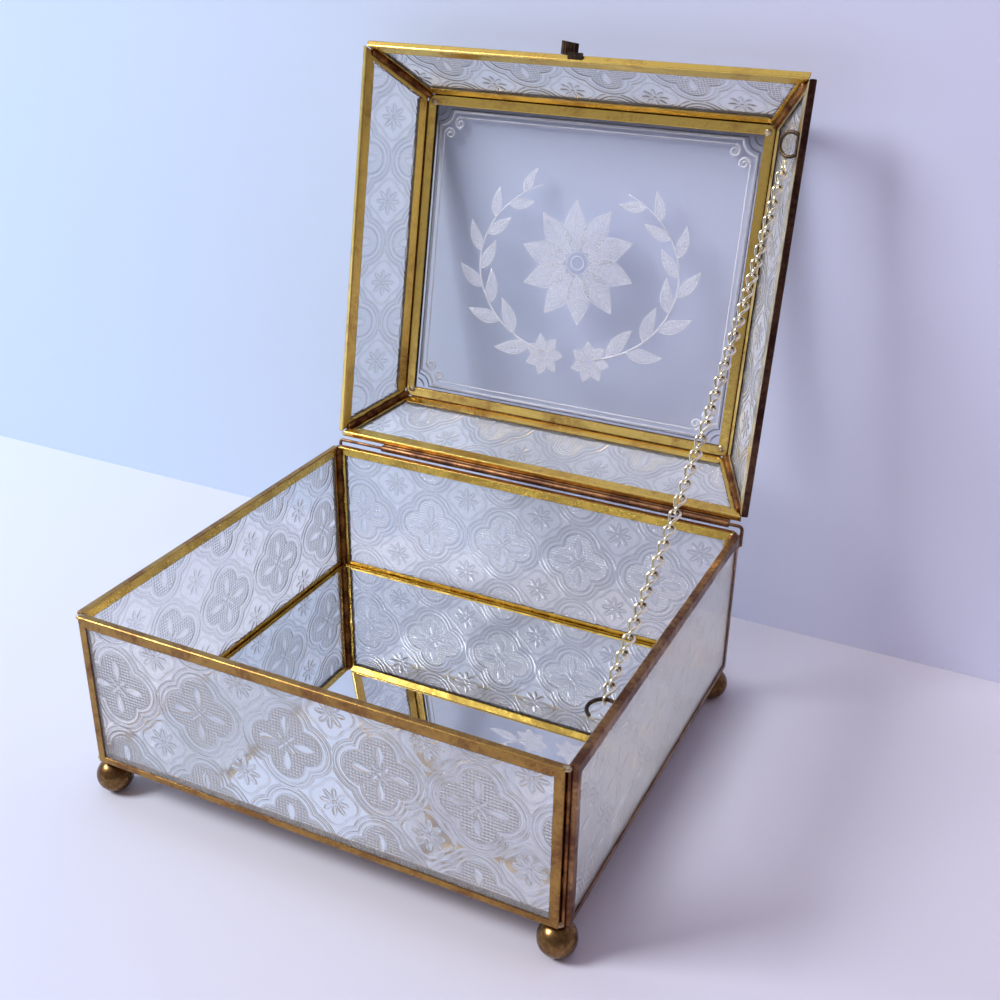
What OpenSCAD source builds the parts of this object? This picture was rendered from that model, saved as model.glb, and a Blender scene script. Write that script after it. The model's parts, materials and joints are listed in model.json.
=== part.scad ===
// Glass and brass keepsake casket, shown with its lid open.
// Embossed panes sit in folded brass channel, soldered into a box on four ball feet.
// X is to the right, Y to the back, Z up; the origin is under the middle of the open box.

/* [Base] */
// Width over the side walls
base_w = 165.8; // [140:0.1:220]
// Depth over the front and back walls
base_d = 147.8; // [130:0.1:190]
// Height of the four walls
wall_h = 54; // [46:1:80]

/* [Lid] */
// Height of the sloping panes, rim to top pane
lid_rise = 24.2; // [18:0.1:32]
// Slope of the lid's side panes above level
lid_slope = 60; // [52:1:70]
// Step from the base's outer faces in to the lid's inner rim
lid_seat = 1.5; // [1.3:0.1:1.7]
// Gap under the closed lid's rim
lid_gap = 0.15; // [0.1:0.05:0.3]
// Angle at which the open lid hangs in its chain
open_angle = 101; // [96:0.5:104]

/* [Brass channel] */
// Thickness of a framed pane over its channel
channel_t = 2.6; // [2.2:0.1:3]
// Thickness of the brass sheet
sheet_t = 0.35; // [0.25:0.05:0.5]
// Outer radius of the channel's two folds
fold_r = 0.5; // [0.36:0.01:0.55]
// Legs of the channel along a top edge
rail_leg = 3.4; // [2.6:0.1:4]
// Legs of the channel round the lid's panes
lid_leg = 3.7; // [2.6:0.1:4.5]
// Legs of the channel down a side edge
stile_leg = 2.8; // [2.2:0.1:3.6]
// Outer leg of the channel along a wall's bottom edge
sill_leg = 2.5; // [2:0.1:3.3]
// Play of a pane in its channel, on each face and edge
pane_play = 0.05; // [0.03:0.01:0.1]
// Radius of the solder run in a corner groove
solder_r = 0.55; // [0.5:0.05:0.7]

/* [Floor] */
// Play between the mirror's frame and the walls
floor_play = 0.1; // [0.05:0.05:0.3]
// Upper leg of the mirror's channel
floor_lip = 1.1; // [0.8:0.1:3.4]
// Lower leg of the mirror's channel
floor_leg = 3.4; // [2.8:0.1:4.5]
// How far the floor hangs below the walls
floor_drop = 0.8; // [0:0.1:1.2]

/* [Feet] */
// Radius of a ball foot
ball_r = 5.9; // [5:0.1:7]
// Height from the table to the walls
foot_h = 12.7; // [11.5:0.1:16]
// How much the ball is flattened where it stands
foot_flat = 0.2; // [0.1:0.05:0.4]
// Radius of the solder neck on a ball
neck_r = 2.4; // [1.5:0.1:3]
// Step from the outer faces in to a ball's centre
foot_inset = 4.4; // [4:0.1:8]

/* [Hinge] */
// Distance of the hinge pin behind the back wall
hinge_back = 2.1; // [2:0.1:3]
// Height of the hinge pin above the walls
hinge_up = 0.9; // [0.7:0.1:1.2]
// Radius of the hinge pin
pin_r = 0.6; // [0.5:0.05:0.7]
// Running clearance of the pin in its tube, on the radius
pin_play = 0.06; // [0.04:0.01:0.1]
// Wall of the hinge tube
tube_wall = 0.6; // [0.4:0.05:0.65]
// Distance of the tube's left end from the left wall
tube_left = 20; // [10:1:40]
// Distance of the tube's right end from the right wall
tube_right = 5.5; // [5:0.5:30]
// Length of the pin's bent ends
pin_leg = 6; // [4:0.5:9]

/* [Thumb tab] */
// Width of the tab's soldered root
tab_root = 5.2; // [3:0.1:7]
// Width of the ribbed strip, root to free edge
tab_h = 4.2; // [3:0.1:7]
// Radius of the rolled end
tab_roll = 1.85; // [1.6:0.05:2]
// Thickness of the tab's strip
tab_t = 0.6; // [0.45:0.05:0.7]

/* [Chain] */
// Radius of the link wire
link_wire = 0.45; // [0.35:0.05:0.5]
// Half the width of a link, between wire centres
link_half = 1.75; // [1.6:0.05:2]
// Free play where two links hook together
link_play = 0.25; // [0.15:0.05:0.4]
// Slope of the hanging chain at its ends, against its chord
chain_slope = 0.19; // [0.05:0.01:0.3]
// Distance of the chain from the side wall's outer face
chain_in = 5.6; // [5.4:0.1:7]
// Wire radius of the two rings
ring_wire = 0.6; // [0.5:0.05:0.7]
// Radius of the ring on the base
base_ring_r = 4.4; // [3.6:0.1:5]
// Distance of the base ring's centre from the front face
base_ring_y = 30.7; // [20:0.1:40]
// Drop of the base ring's centre below the rim
base_ring_drop = 1.7; // [1.5:0.1:4]
// Tilt of the base ring, up at the back
base_ring_tilt = 6; // [0:1:12]
// Radius of the ring on the lid
lid_ring_r = 3.9; // [3.4:0.1:4.5]
// Distance of the lid ring's centre from the base's front face, with the lid shut
lid_ring_y = 21.7; // [19:0.1:36]
// Height of the lid ring inside the lid's rim
lid_ring_up = 2.5; // [2:0.1:3.5]
// Slant of the lid ring, deeper towards the lid's middle
lid_ring_tilt = 20; // [5:1:30]

/* [Hidden] */

BRASS = "#b08a3c";
DARK_BRASS = "#5a3f22";
SOLDER = "#9c8350";
CLEAR = [0.82, 0.86, 0.9, 0.35];
MIRROR = "#cfd4da";
eps = 0.01;
far = 400;
fold_steps = 3;
lap = 0.02;
links_per_node = 4;
link_count = 9 * links_per_node;

// Lid, measured in its closed place with the rim plane at lid height zero.
lid_inset = lid_rise / tan(lid_slope);
lid_slant = lid_rise / sin(lid_slope);
rim_x = base_w / 2 - lid_seat;
rim_y = base_d / 2 - lid_seat;
top_x = rim_x - lid_inset;
top_y = rim_y - lid_inset;

// Hinge axis in the base's own frame: front face at y = 0, wall bottoms at z = 0.
axis_y = base_d + hinge_back;
axis_z = wall_h + hinge_up;
tube_r = pin_r + pin_play + tube_wall;
lid_ring_u = axis_y - lid_ring_y;

// The open box is centred on the origin, from the front feet to the raised lid's furthest
// point, which is the top front edge of the closed lid.
reach_up = lid_rise + channel_t + lid_gap - hinge_up;
reach_out = axis_y - lid_seat - lid_inset;
open_reach = axis_y - reach_out * cos(open_angle) + reach_up * sin(open_angle);
shift_y = -(open_reach + foot_inset - ball_r) / 2;

function unit(v) = v / norm(v);
function turned(v, a) = [v[0] * cos(a) - v[1] * sin(a), v[0] * sin(a) + v[1] * cos(a)];

// A point of the closed lid, given from the hinge axis as [back, up], swung open.
function swung(p) = turned(p, -open_angle);

// Chain: hook points on the two rings, in the base's frame, as [y, z].
chain_x = base_w / 2 - chain_in;
base_ring_x = base_w / 2 - channel_t - 2;
lid_ring_x = rim_x - 3.5;
base_hook_r = sqrt(pow(base_ring_r, 2) - pow(chain_x - base_ring_x, 2));
lid_hook_r = sqrt(pow(lid_ring_r, 2) - pow(chain_x - lid_ring_x, 2));
base_hook = [base_ring_y + base_hook_r * cos(base_ring_tilt),
             wall_h - base_ring_drop + base_hook_r * sin(base_ring_tilt)];
lid_hook = [axis_y, axis_z]
    + swung([-lid_ring_u + lid_hook_r, lid_gap + lid_ring_up - hinge_up]);
chord = norm(lid_hook - base_hook);
chord_a = atan2(lid_hook[1] - base_hook[1], lid_hook[0] - base_hook[0]);

// Each link's lean against the chord follows the slope of a shallow parabola.
function link_lean(i) = atan(chain_slope * ((2 * i + 1) / link_count - 1));
function lean_sum(i) = i < 0 ? 0 : cos(link_lean(i)) + lean_sum(i - 1);
pitch = chord / lean_sum(link_count - 1);
function link_angle(i) = chord_a + link_lean(i);
function link_start(i) = i == 0 ? base_hook
    : link_start(i - 1) + pitch * [cos(link_angle(i - 1)), sin(link_angle(i - 1))];

module place_base() {
    translate([0, shift_y, foot_h]) children();
}

// Swings the closed lid, drawn in the base's frame, up to its open angle.
module place_lid() {
    place_base()
        translate([0, axis_y, axis_z])
        rotate([-open_angle, 0, 0])
        translate([0, -axis_y, -axis_z])
        translate([0, 0, wall_h + lid_gap])
        children();
}

// ---- Framed panes: outlines run counter-clockwise, inner face at z = 0 ----

function rect_outline(x0, x1, y0, y1) = [[x0, y0], [x1, y0], [x1, y1], [x0, y1]];
function trapeze_outline(half_low, half_top, h) =
    [[-half_low, 0], [half_low, 0], [half_top, h], [-half_top, h]];

function edge_dir(p, i) = unit(p[(i + 1) % len(p)] - p[i]);
function edge_in(p, i) = let (d = edge_dir(p, i)) [-d[1], d[0]];

// Corner i of an outline whose every edge has moved inwards by m.
function inset_corner(p, i, m) =
    let (a = edge_dir(p, (i + len(p) - 1) % len(p)), b = edge_dir(p, i),
         na = [-a[1], a[0]], nb = [-b[1], b[0]])
    p[i] + m * (na + nb) / (1 + na * nb);
function inset_outline(p, m) = [for (i = [0:len(p) - 1]) inset_corner(p, i, m)];

// Section of folded channel: x runs in from the pane's edge, y from inner to outer face.
function channel_section(leg_in, leg_out) = concat(
    [[leg_in, sheet_t], [leg_in, 0]],
    [for (k = [0:fold_steps]) let (a = -90 - 90 * k / fold_steps)
        [fold_r + fold_r * cos(a), fold_r + fold_r * sin(a)]],
    [for (k = [0:fold_steps]) let (a = 180 - 90 * k / fold_steps)
        [fold_r + fold_r * cos(a), channel_t - fold_r + fold_r * sin(a)]],
    [[leg_out, channel_t], [leg_out, channel_t - sheet_t],
     [sheet_t, channel_t - sheet_t], [sheet_t, sheet_t]]
);

// One mitred length of channel along edge i of an outline, lapped into its neighbours.
module channel_rail(p, i, leg_in, leg_out) {
    d = edge_dir(p, i);
    a = p[i] - lap * d;
    b = p[(i + 1) % len(p)] + lap * d;
    reach = max(leg_in, leg_out) + 1;
    q = [a, b, inset_corner(p, (i + 1) % len(p), reach) + lap * d,
         inset_corner(p, i, reach) - lap * d];
    intersection() {
        translate([a[0], a[1], 0])
            rotate([0, 0, atan2(d[1], d[0])])
            rotate([90, 0, 90])
            linear_extrude(norm(b - a)) polygon(channel_section(leg_in, leg_out));
        translate([0, 0, -1]) linear_extrude(channel_t + 2) polygon(q);
    }
}

// Channel folded round a pane: legs are [inner, outer] for each edge in turn.
module pane_frame(p, legs) {
    color(BRASS)
        for (i = [0:len(p) - 1]) channel_rail(p, i, legs[i][0], legs[i][1]);
}

module pane(p, tint) {
    color(tint)
        translate([0, 0, sheet_t + pane_play])
        linear_extrude(channel_t - 2 * (sheet_t + pane_play))
        polygon(inset_outline(p, sheet_t + pane_play));
}

// ---- Base ----

wall_legs = [[rail_leg, sill_leg], [stile_leg, stile_leg], [rail_leg, rail_leg], [stile_leg, stile_leg]];
front_outline = rect_outline(-base_w / 2 + channel_t, base_w / 2 - channel_t, 0, wall_h);
side_outline = rect_outline(channel_t, base_d - channel_t, 0, wall_h);

module on_front() { place_base() translate([0, channel_t, 0]) rotate([90, 0, 0]) children(); }
module on_back() { place_base() translate([0, base_d, 0]) mirror([0, 1, 0])
    translate([0, channel_t, 0]) rotate([90, 0, 0]) children(); }
module on_right() { place_base() translate([base_w / 2 - channel_t, 0, 0]) rotate([90, 0, 90]) children(); }
module on_left() { mirror([1, 0, 0]) on_right() children(); }

module front_glass() { on_front() pane(front_outline, CLEAR); }
module back_glass() { on_back() pane(front_outline, CLEAR); }
module left_glass() { on_left() pane(side_outline, CLEAR); }
module right_glass() { on_right() pane(side_outline, CLEAR); }
module front_frame() { on_front() pane_frame(front_outline, wall_legs); }
module back_frame() { on_back() pane_frame(front_outline, wall_legs); }
module left_frame() { on_left() pane_frame(side_outline, wall_legs); }
module right_frame() { on_right() pane_frame(side_outline, wall_legs); }

floor_in = channel_t + floor_play;
floor_outline = rect_outline(-base_w / 2 + floor_in, base_w / 2 - floor_in, floor_in, base_d - floor_in);

// The mirror lies face up in a channel of its own; drawn inner face down, then turned over.
module on_floor() {
    place_base() translate([0, base_d, channel_t - floor_drop]) rotate([180, 0, 0]) children();
}
module mirror_floor() { on_floor() pane(floor_outline, MIRROR); }
module floor_frame() {
    on_floor() pane_frame(floor_outline, [for (i = [0:3]) [floor_lip, floor_leg]]);
}

// A solder run in each open corner groove, touching the webs of both walls.
module base_solder() {
    color(SOLDER) place_base()
        for (sx = [-1, 1], back = [0, 1])
            translate([sx * (base_w / 2 - channel_t + solder_r),
                       back * base_d + (1 - 2 * back) * (channel_t - solder_r), 0])
                cylinder(r = solder_r, h = wall_h, $fn = 24);
}

floor_z = foot_h - floor_drop;

// Ball foot: a sphere flattened below, with a neck of solder up to the floor's corner.
module ball_foot(sx, back) {
    color(BRASS)
        translate([sx * (base_w / 2 - foot_inset),
                   shift_y + (back ? base_d - foot_inset : foot_inset), 0]) {
            intersection() {
                translate([0, 0, ball_r - foot_flat]) sphere(r = ball_r, $fn = 64);
                translate([-ball_r, -ball_r, 0]) cube([2 * ball_r, 2 * ball_r, floor_z - eps]);
            }
            translate([0, 0, ball_r]) cylinder(r = neck_r, h = floor_z - ball_r, $fn = 48);
        }
}
module foot_front_left() { ball_foot(-1, false); }
module foot_front_right() { ball_foot(1, false); }
module foot_back_left() { ball_foot(-1, true); }
module foot_back_right() { ball_foot(1, true); }

// ---- Hinge ----

bend_r = 1.5;
pin_half = base_w / 2 - 0.6;

module pin_end(sx) {
    mirror([sx < 0 ? 1 : 0, 0, 0]) {
        translate([pin_half - bend_r, axis_y, axis_z - bend_r])
            rotate([90, 0, 0])
            rotate_extrude(angle = 90, $fn = 48) translate([bend_r, 0]) circle(r = pin_r, $fn = 24);
        translate([pin_half, axis_y, axis_z - bend_r - pin_leg])
            cylinder(r = pin_r, h = pin_leg + eps, $fn = 24);
        // Solder pad that joins the bent end to the back wall's channel.
        translate([pin_half - channel_t - 1, base_d, axis_z - bend_r - pin_leg])
            cube([channel_t + 1, hinge_back, pin_leg * 0.7]);
    }
}

// Wire pin through the tube, its bent ends soldered to the base's back corners.
module hinge_pin() {
    color(DARK_BRASS) place_base() {
        translate([-pin_half + bend_r, axis_y, axis_z])
            rotate([0, 90, 0]) cylinder(r = pin_r, h = 2 * (pin_half - bend_r), $fn = 32);
        for (sx = [-1, 1]) pin_end(sx);
    }
}

// Outer lower edge of the lid's back channel and points round the solder fillet,
// as [y, z] from the hinge axis with the lid closed.
rail_edge = [-lid_seat + channel_t * sin(lid_slope) - hinge_back,
             lid_gap + channel_t * cos(lid_slope) - hinge_up];
rail_up = [-cos(lid_slope), sin(lid_slope)];
fillet_run = 1.3;

module hinge_tube() {
    tube_x0 = -base_w / 2 + tube_left;
    tube_len = base_w - tube_left - tube_right;
    color(DARK_BRASS)
        place_base() translate([tube_x0, axis_y, axis_z]) rotate([-open_angle, 0, 0])
        rotate([90, 0, 90])
        difference() {
            union() {
                cylinder(r = tube_r, h = tube_len, $fn = 40);
                linear_extrude(tube_len)
                    polygon([rail_edge + fold_r * rail_up, rail_edge + fillet_run * rail_up,
                             0.95 * tube_r * [0.3, 0.95], [0, 0]]);
            }
            translate([0, 0, -1]) cylinder(r = pin_r + pin_play, h = tube_len + 2, $fn = 40);
        }
}

// ---- Lid ----

lid_legs = [[lid_leg, lid_leg], [stile_leg, stile_leg], [lid_leg, lid_leg], [stile_leg, stile_leg]];
lid_long = trapeze_outline(rim_x, top_x, lid_slant);
lid_short = trapeze_outline(rim_y, top_y, lid_slant);
lid_top = rect_outline(-top_x, top_x, -top_y, top_y);

module on_lid_front() { place_lid() translate([0, lid_seat, 0]) rotate([lid_slope, 0, 0]) children(); }
module on_lid_back() { place_lid() translate([0, base_d, 0]) mirror([0, 1, 0])
    translate([0, lid_seat, 0]) rotate([lid_slope, 0, 0]) children(); }
module on_lid_right() { place_lid() translate([rim_x, base_d / 2, 0]) rotate([lid_slope, 0, 90]) children(); }
module on_lid_left() { mirror([1, 0, 0]) on_lid_right() children(); }
module on_lid_top() { place_lid() translate([0, base_d / 2, lid_rise]) children(); }

module lid_front_glass() { on_lid_front() pane(lid_long, CLEAR); }
module lid_back_glass() { on_lid_back() pane(lid_long, CLEAR); }
module lid_left_glass() { on_lid_left() pane(lid_short, CLEAR); }
module lid_right_glass() { on_lid_right() pane(lid_short, CLEAR); }
module lid_top_glass() { on_lid_top() pane(lid_top, CLEAR); }
module lid_front_frame() { on_lid_front() pane_frame(lid_long, lid_legs); }
module lid_back_frame() { on_lid_back() pane_frame(lid_long, lid_legs); }
module lid_left_frame() { on_lid_left() pane_frame(lid_short, lid_legs); }
module lid_right_frame() { on_lid_right() pane_frame(lid_short, lid_legs); }
module lid_top_frame() { on_lid_top() pane_frame(lid_top, [for (i = [0:3]) [lid_leg, lid_leg]]); }

// A rod from a to b, kept clear of both ends.
module rod(a, b, r, trim) {
    d = b - a;
    translate(a + trim * unit(d))
        rotate([0, acos(d[2] / norm(d)), atan2(d[1], d[0])])
        cylinder(r = r, h = norm(d) - 2 * trim, $fn = 20);
}

// Solder run in a groove from a to b between two webs. The run lies on the line
// that halves the groove, where its radius just reaches both webs.
module groove_run(a, b, n1, n2) {
    h = unit(b - a);
    mid = unit(n1 + n2);
    web = cross(h, n1);
    rod(a + mid * solder_r / abs(mid * web), b + mid * solder_r / abs(mid * web), solder_r, channel_t);
}

module lid_solder() {
    s = sin(lid_slope);
    c = cos(lid_slope);
    color(SOLDER) place_lid() translate([0, base_d / 2, 0]) {
        for (sx = [-1, 1], sy = [-1, 1]) {
            groove_run([sx * rim_x, sy * rim_y, 0], [sx * top_x, sy * top_y, lid_rise],
                       [sx * s, 0, c], [0, sy * s, c]);
        }
        for (sx = [-1, 1])
            groove_run([sx * top_x, -top_y, lid_rise], [sx * top_x, top_y, lid_rise],
                       [sx * s, 0, c], [0, 0, 1]);
        for (sy = [-1, 1])
            groove_run([-top_x, sy * top_y, lid_rise], [top_x, sy * top_y, lid_rise],
                       [0, sy * s, c], [0, 0, 1]);
    }
}

// ---- Thumb tab: a ribbed strip rolled at one end and hooked round at the other ----

rib = 0.12;
rib_turn = 26;
hook_r = 1.35;
roll_c = [-2.1, 2.2];
hook_c = [1.1, 0.3];
tab_x = -1.6;
lump_x = 0.8;
free_slope = 7;
roll_in = 0.8;
roll_sweep = 420;
hook_sweep = 190;
tab_step = 6;

// Slope of the straight stretch that leaves the roll and runs onto the hook.
tab_run = atan2(hook_c[1] - roll_c[1], hook_c[0] - roll_c[0])
    + asin((tab_roll + hook_r) / norm(hook_c - roll_c));
roll_end = tab_run - 90;

function polar(r, a) = [r * cos(a), r * sin(a)];
function roll_radius(a) = tab_roll - (tab_roll - roll_in) * (roll_end - a) / roll_sweep;

// The strip's face further from a curl's centre carries the ribs.
function roll_face(a, side) = roll_c
    + polar(roll_radius(a) + side * tab_t / 2 + (side > 0 ? rib * cos(a * 360 / rib_turn) : 0), a);
function hook_face(a, side) = hook_c
    + polar(hook_r + side * tab_t / 2 + (side > 0 ? rib * cos(a * 360 / rib_turn) : 0), a);
roll_angles = [for (a = [roll_end - roll_sweep:tab_step:roll_end]) a];
hook_angles = [for (a = [roll_end + 180:-tab_step:roll_end + 180 - hook_sweep]) a];

module tab_section() {
    polygon(concat(
        [for (a = roll_angles) roll_face(a, 1)],
        [for (a = hook_angles) hook_face(a, -1)],
        [for (i = [len(hook_angles) - 1:-1:0]) hook_face(hook_angles[i], 1)],
        [for (i = [len(roll_angles) - 1:-1:0]) roll_face(roll_angles[i], -1)]));
}

module thumb_tab() {
    out = channel_t * sin(lid_slope);
    up = channel_t * cos(lid_slope);
    color(DARK_BRASS) place_lid() translate([0, lid_seat, 0]) {
        // The free edge slopes down towards the hooked end.
        difference() {
            translate([tab_x, -lap - out, up]) rotate([90, 0, 0]) linear_extrude(tab_h + 2) tab_section();
            translate([tab_x + roll_c[0], -lap - out - tab_h, 0]) rotate([0, 0, free_slope])
                translate([-far / 2, -far, -far / 2]) cube(far);
        }
        // Lump of solder between the channel's web and the hooked end.
        translate([lump_x - tab_root / 2, 0, 0]) rotate([90, 0, 90]) linear_extrude(tab_root)
            polygon([[-0.3 * out, 0.3 * up], [-0.85 * out, 0.85 * up], [-out - 0.6, up + 0.2],
                     [-out - 0.6, up - 1.5], [0.2 - out, up - 1.4], [-0.35 * out, 0.1 * up]]);
    }
}

// ---- Chain and its rings ----

// C-shaped ring with one end against the wall's inner leg.
module base_chain_ring() {
    color(DARK_BRASS) place_base() intersection() {
        translate([base_ring_x, base_ring_y, wall_h - base_ring_drop])
            rotate([base_ring_tilt, 0, 0])
            rotate([0, 0, 30])
            rotate_extrude(angle = 206, $fn = 64) translate([base_ring_r, 0]) circle(r = ring_wire, $fn = 24);
        translate([-far, -far / 2, -far / 2]) cube([far + base_w / 2 - channel_t, far, far]);
    }
}

// D-shaped ring on the lid: its straight side is soldered along the channel's inner leg.
module lid_chain_ring() {
    flat = 2.7;
    turn = acos(flat / lid_ring_r);
    color(DARK_BRASS) place_lid() intersection() {
        translate([lid_ring_x, axis_y - lid_ring_u, lid_ring_up]) rotate([0, lid_ring_tilt, 0]) {
            rotate([0, 0, turn]) rotate_extrude(angle = 360 - 2 * turn, $fn = 64)
                translate([lid_ring_r, 0]) circle(r = ring_wire, $fn = 24);
            translate([flat, -lid_ring_r * sin(turn), 0]) rotate([-90, 0, 0])
                cylinder(r = ring_wire, h = 2 * lid_ring_r * sin(turn), $fn = 24);
            for (sy = [-1, 1]) translate([flat, sy * lid_ring_r * sin(turn), 0])
                sphere(r = 1.06 * ring_wire, $fn = 24);
        }
        translate([rim_x, 0, 0]) rotate([0, lid_slope - 90, 0])
            translate([-far, -far / 2, -far / 2]) cube([far, far, far]);
    }
}

// Centre line of a link: two half circles joined by straight wire, as [along, across].
arc_steps = 6;
wire_steps = 3;
wire_sides = 6;

function link_loop(len_c) = let (h = len_c / 2 - link_half) concat(
    [for (k = [0:arc_steps]) let (a = -90 + 180 * k / arc_steps)
        [h + link_half * cos(a), link_half * sin(a)]],
    [for (k = [1:wire_steps - 1]) [h - 2 * h * k / wire_steps, link_half]],
    [for (k = [0:arc_steps]) let (a = 90 + 180 * k / arc_steps)
        [-h + link_half * cos(a), link_half * sin(a)]],
    [for (k = [1:wire_steps - 1]) [-h + 2 * h * k / wire_steps, -link_half]]
);

// The loop turns a quarter from one end to the other, so that links lie flat in a row.
function ease(q) = q * q * (3 - 2 * q);
function loop_turn(along, len_c, turn) = turn * ease(along / len_c + 0.5);
function loop_point(p, len_c, turn) = let (a = loop_turn(p[0], len_c, turn))
    [p[1] * sin(a), p[0], p[1] * cos(a)];
function loop_normal(p, len_c, turn) = let (a = loop_turn(p[0], len_c, turn))
    [cos(a), 0, -sin(a)];

// A closed wire loop swept as one solid. It lies along Y, with its first end upright.
module wire_loop(len_c, turn) {
    flat = link_loop(len_c);
    n = len(flat);
    mid = [for (p = flat) loop_point(p, len_c, turn)];
    ring = [for (i = [0:n - 1])
        let (t = unit(mid[(i + 1) % n] - mid[(i + n - 1) % n]),
             m = loop_normal(flat[i], len_c, turn),
             u = unit(m - (m * t) * t),
             v = cross(t, u))
        [for (k = [0:wire_sides - 1]) let (a = 360 * k / wire_sides)
            mid[i] + link_wire * (cos(a) * u + sin(a) * v)]];
    polyhedron(
        points = [for (r = ring) for (q = r) q],
        faces = [for (i = [0:n - 1]) for (k = [0:wire_sides - 1]) for (half = [0, 1])
            let (a = i * wire_sides, b = ((i + 1) % n) * wire_sides, l = (k + 1) % wire_sides)
            half == 0 ? [a + k, a + l, b + l] : [a + k, b + l, b + k]],
        convexity = 6);
}

// Link i hooks behind its start point and ends on the next link's start point.
// The first reaches round the base ring; the last stops short of the lid ring's wire.
module chain_link(i) {
    hook = (i == 0 ? ring_wire : link_wire) + link_wire + link_play;
    stop = i == link_count - 1 ? ring_wire + link_wire + link_play : 0;
    len_c = pitch + hook - stop;
    p = link_start(i);
    translate([chain_x, p[0], p[1]])
        rotate([link_angle(i), 0, 0])
        translate([0, len_c / 2 - hook, 0])
        wire_loop(len_c, i == link_count - 1 ? 0 : 90);
}

module chain_links(k) {
    color(BRASS) place_base()
        for (j = [0:links_per_node - 1]) chain_link((k - 1) * links_per_node + j);
}

front_glass();
back_glass();
left_glass();
right_glass();
front_frame();
back_frame();
left_frame();
right_frame();
mirror_floor();
floor_frame();
base_solder();
foot_front_left();
foot_front_right();
foot_back_left();
foot_back_right();
hinge_pin();
base_chain_ring();
lid_top_glass();
lid_front_glass();
lid_back_glass();
lid_left_glass();
lid_right_glass();
lid_top_frame();
lid_front_frame();
lid_back_frame();
lid_left_frame();
lid_right_frame();
lid_solder();
hinge_tube();
thumb_tab();
lid_chain_ring();
chain_links(1);  // chain_links_1
chain_links(2);  // chain_links_2
chain_links(3);  // chain_links_3
chain_links(4);  // chain_links_4
chain_links(5);  // chain_links_5
chain_links(6);  // chain_links_6
chain_links(7);  // chain_links_7
chain_links(8);  // chain_links_8
chain_links(9);  // chain_links_9
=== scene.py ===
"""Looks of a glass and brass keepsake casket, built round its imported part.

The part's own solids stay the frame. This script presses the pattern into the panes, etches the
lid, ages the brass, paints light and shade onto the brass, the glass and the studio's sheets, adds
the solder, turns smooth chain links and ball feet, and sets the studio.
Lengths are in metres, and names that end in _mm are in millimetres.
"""

import json
import logging
import math
from dataclasses import dataclass
from enum import Enum

import bmesh
import bpy
import numpy as np
from mathutils import Matrix, Vector


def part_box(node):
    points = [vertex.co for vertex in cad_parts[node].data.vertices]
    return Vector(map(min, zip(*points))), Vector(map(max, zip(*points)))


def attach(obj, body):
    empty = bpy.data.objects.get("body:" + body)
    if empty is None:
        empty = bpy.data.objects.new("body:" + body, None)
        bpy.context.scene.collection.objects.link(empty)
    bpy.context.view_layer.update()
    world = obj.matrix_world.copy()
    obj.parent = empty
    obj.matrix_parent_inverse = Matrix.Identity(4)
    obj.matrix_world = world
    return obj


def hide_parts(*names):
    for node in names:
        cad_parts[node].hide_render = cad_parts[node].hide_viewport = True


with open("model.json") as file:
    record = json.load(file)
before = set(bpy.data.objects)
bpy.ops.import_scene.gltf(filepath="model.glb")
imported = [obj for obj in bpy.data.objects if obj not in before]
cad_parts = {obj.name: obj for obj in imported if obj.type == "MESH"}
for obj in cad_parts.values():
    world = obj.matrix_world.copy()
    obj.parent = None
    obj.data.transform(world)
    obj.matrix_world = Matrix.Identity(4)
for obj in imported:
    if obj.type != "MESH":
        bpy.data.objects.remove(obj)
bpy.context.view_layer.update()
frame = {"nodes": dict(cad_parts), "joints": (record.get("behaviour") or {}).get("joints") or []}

MM = 0.001
SPECK_COLOUR = (0.07, 0.035, 0.015)
# Grime and painted shade darken the brass's corners, within the reach, and its edges.
GRIME_AND_SHADE_COLOUR = (0.085, 0.024, 0.010)
GRIME_AND_SHADE_REACH_MM = 2.2
EDGE_MM = 0.45
log = logging.getLogger("casket")


# ---------------------------------------------------------------- meshes


def grid_quads(rows: int, cols: int, wrap_rows: bool = False, wrap_cols: bool = False) -> np.ndarray:
    """Quads over a grid of points numbered row by row.

    Args:
        rows: Number of rows of points.
        cols: Number of points in each row.
        wrap_rows: Whether the last row joins the first.
        wrap_cols: Whether each row closes on itself.

    Returns:
        Array of four point numbers for each quad.
    """
    r = np.arange(rows if wrap_rows else rows - 1)[:, None]
    c = np.arange(cols if wrap_cols else cols - 1)[None, :]
    r2, c2 = (r + 1) % rows, (c + 1) % cols
    corners = [r * cols + c, r * cols + c2, r2 * cols + c2, r2 * cols + c]
    return np.stack(np.broadcast_arrays(*corners), axis=-1).reshape(-1, 4)


def rim_of(number: np.ndarray) -> np.ndarray:
    """The numbers round the edge of a grid of point numbers, in order from its first corner."""
    return np.concatenate([number[0, :-1], number[:-1, -1], number[-1, :0:-1], number[:0:-1, 0]])


def unit(v: np.ndarray) -> np.ndarray:
    """The direction of a vector, or of each row of an array."""
    return v / np.linalg.norm(v, axis=-1, keepdims=True)


def heading_of(path: np.ndarray, closed: bool) -> np.ndarray:
    """The direction of a path at each of its points."""
    return unit(np.roll(path, -1, 0) - np.roll(path, 1, 0) if closed else np.gradient(path, axis=0))


def smooth_step(x: np.ndarray, low: float, high: float) -> np.ndarray:
    """Eases from 0 at low to 1 at high."""
    t = np.clip((x - low) / (high - low), 0, 1)
    return t * t * (3 - 2 * t)


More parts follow.
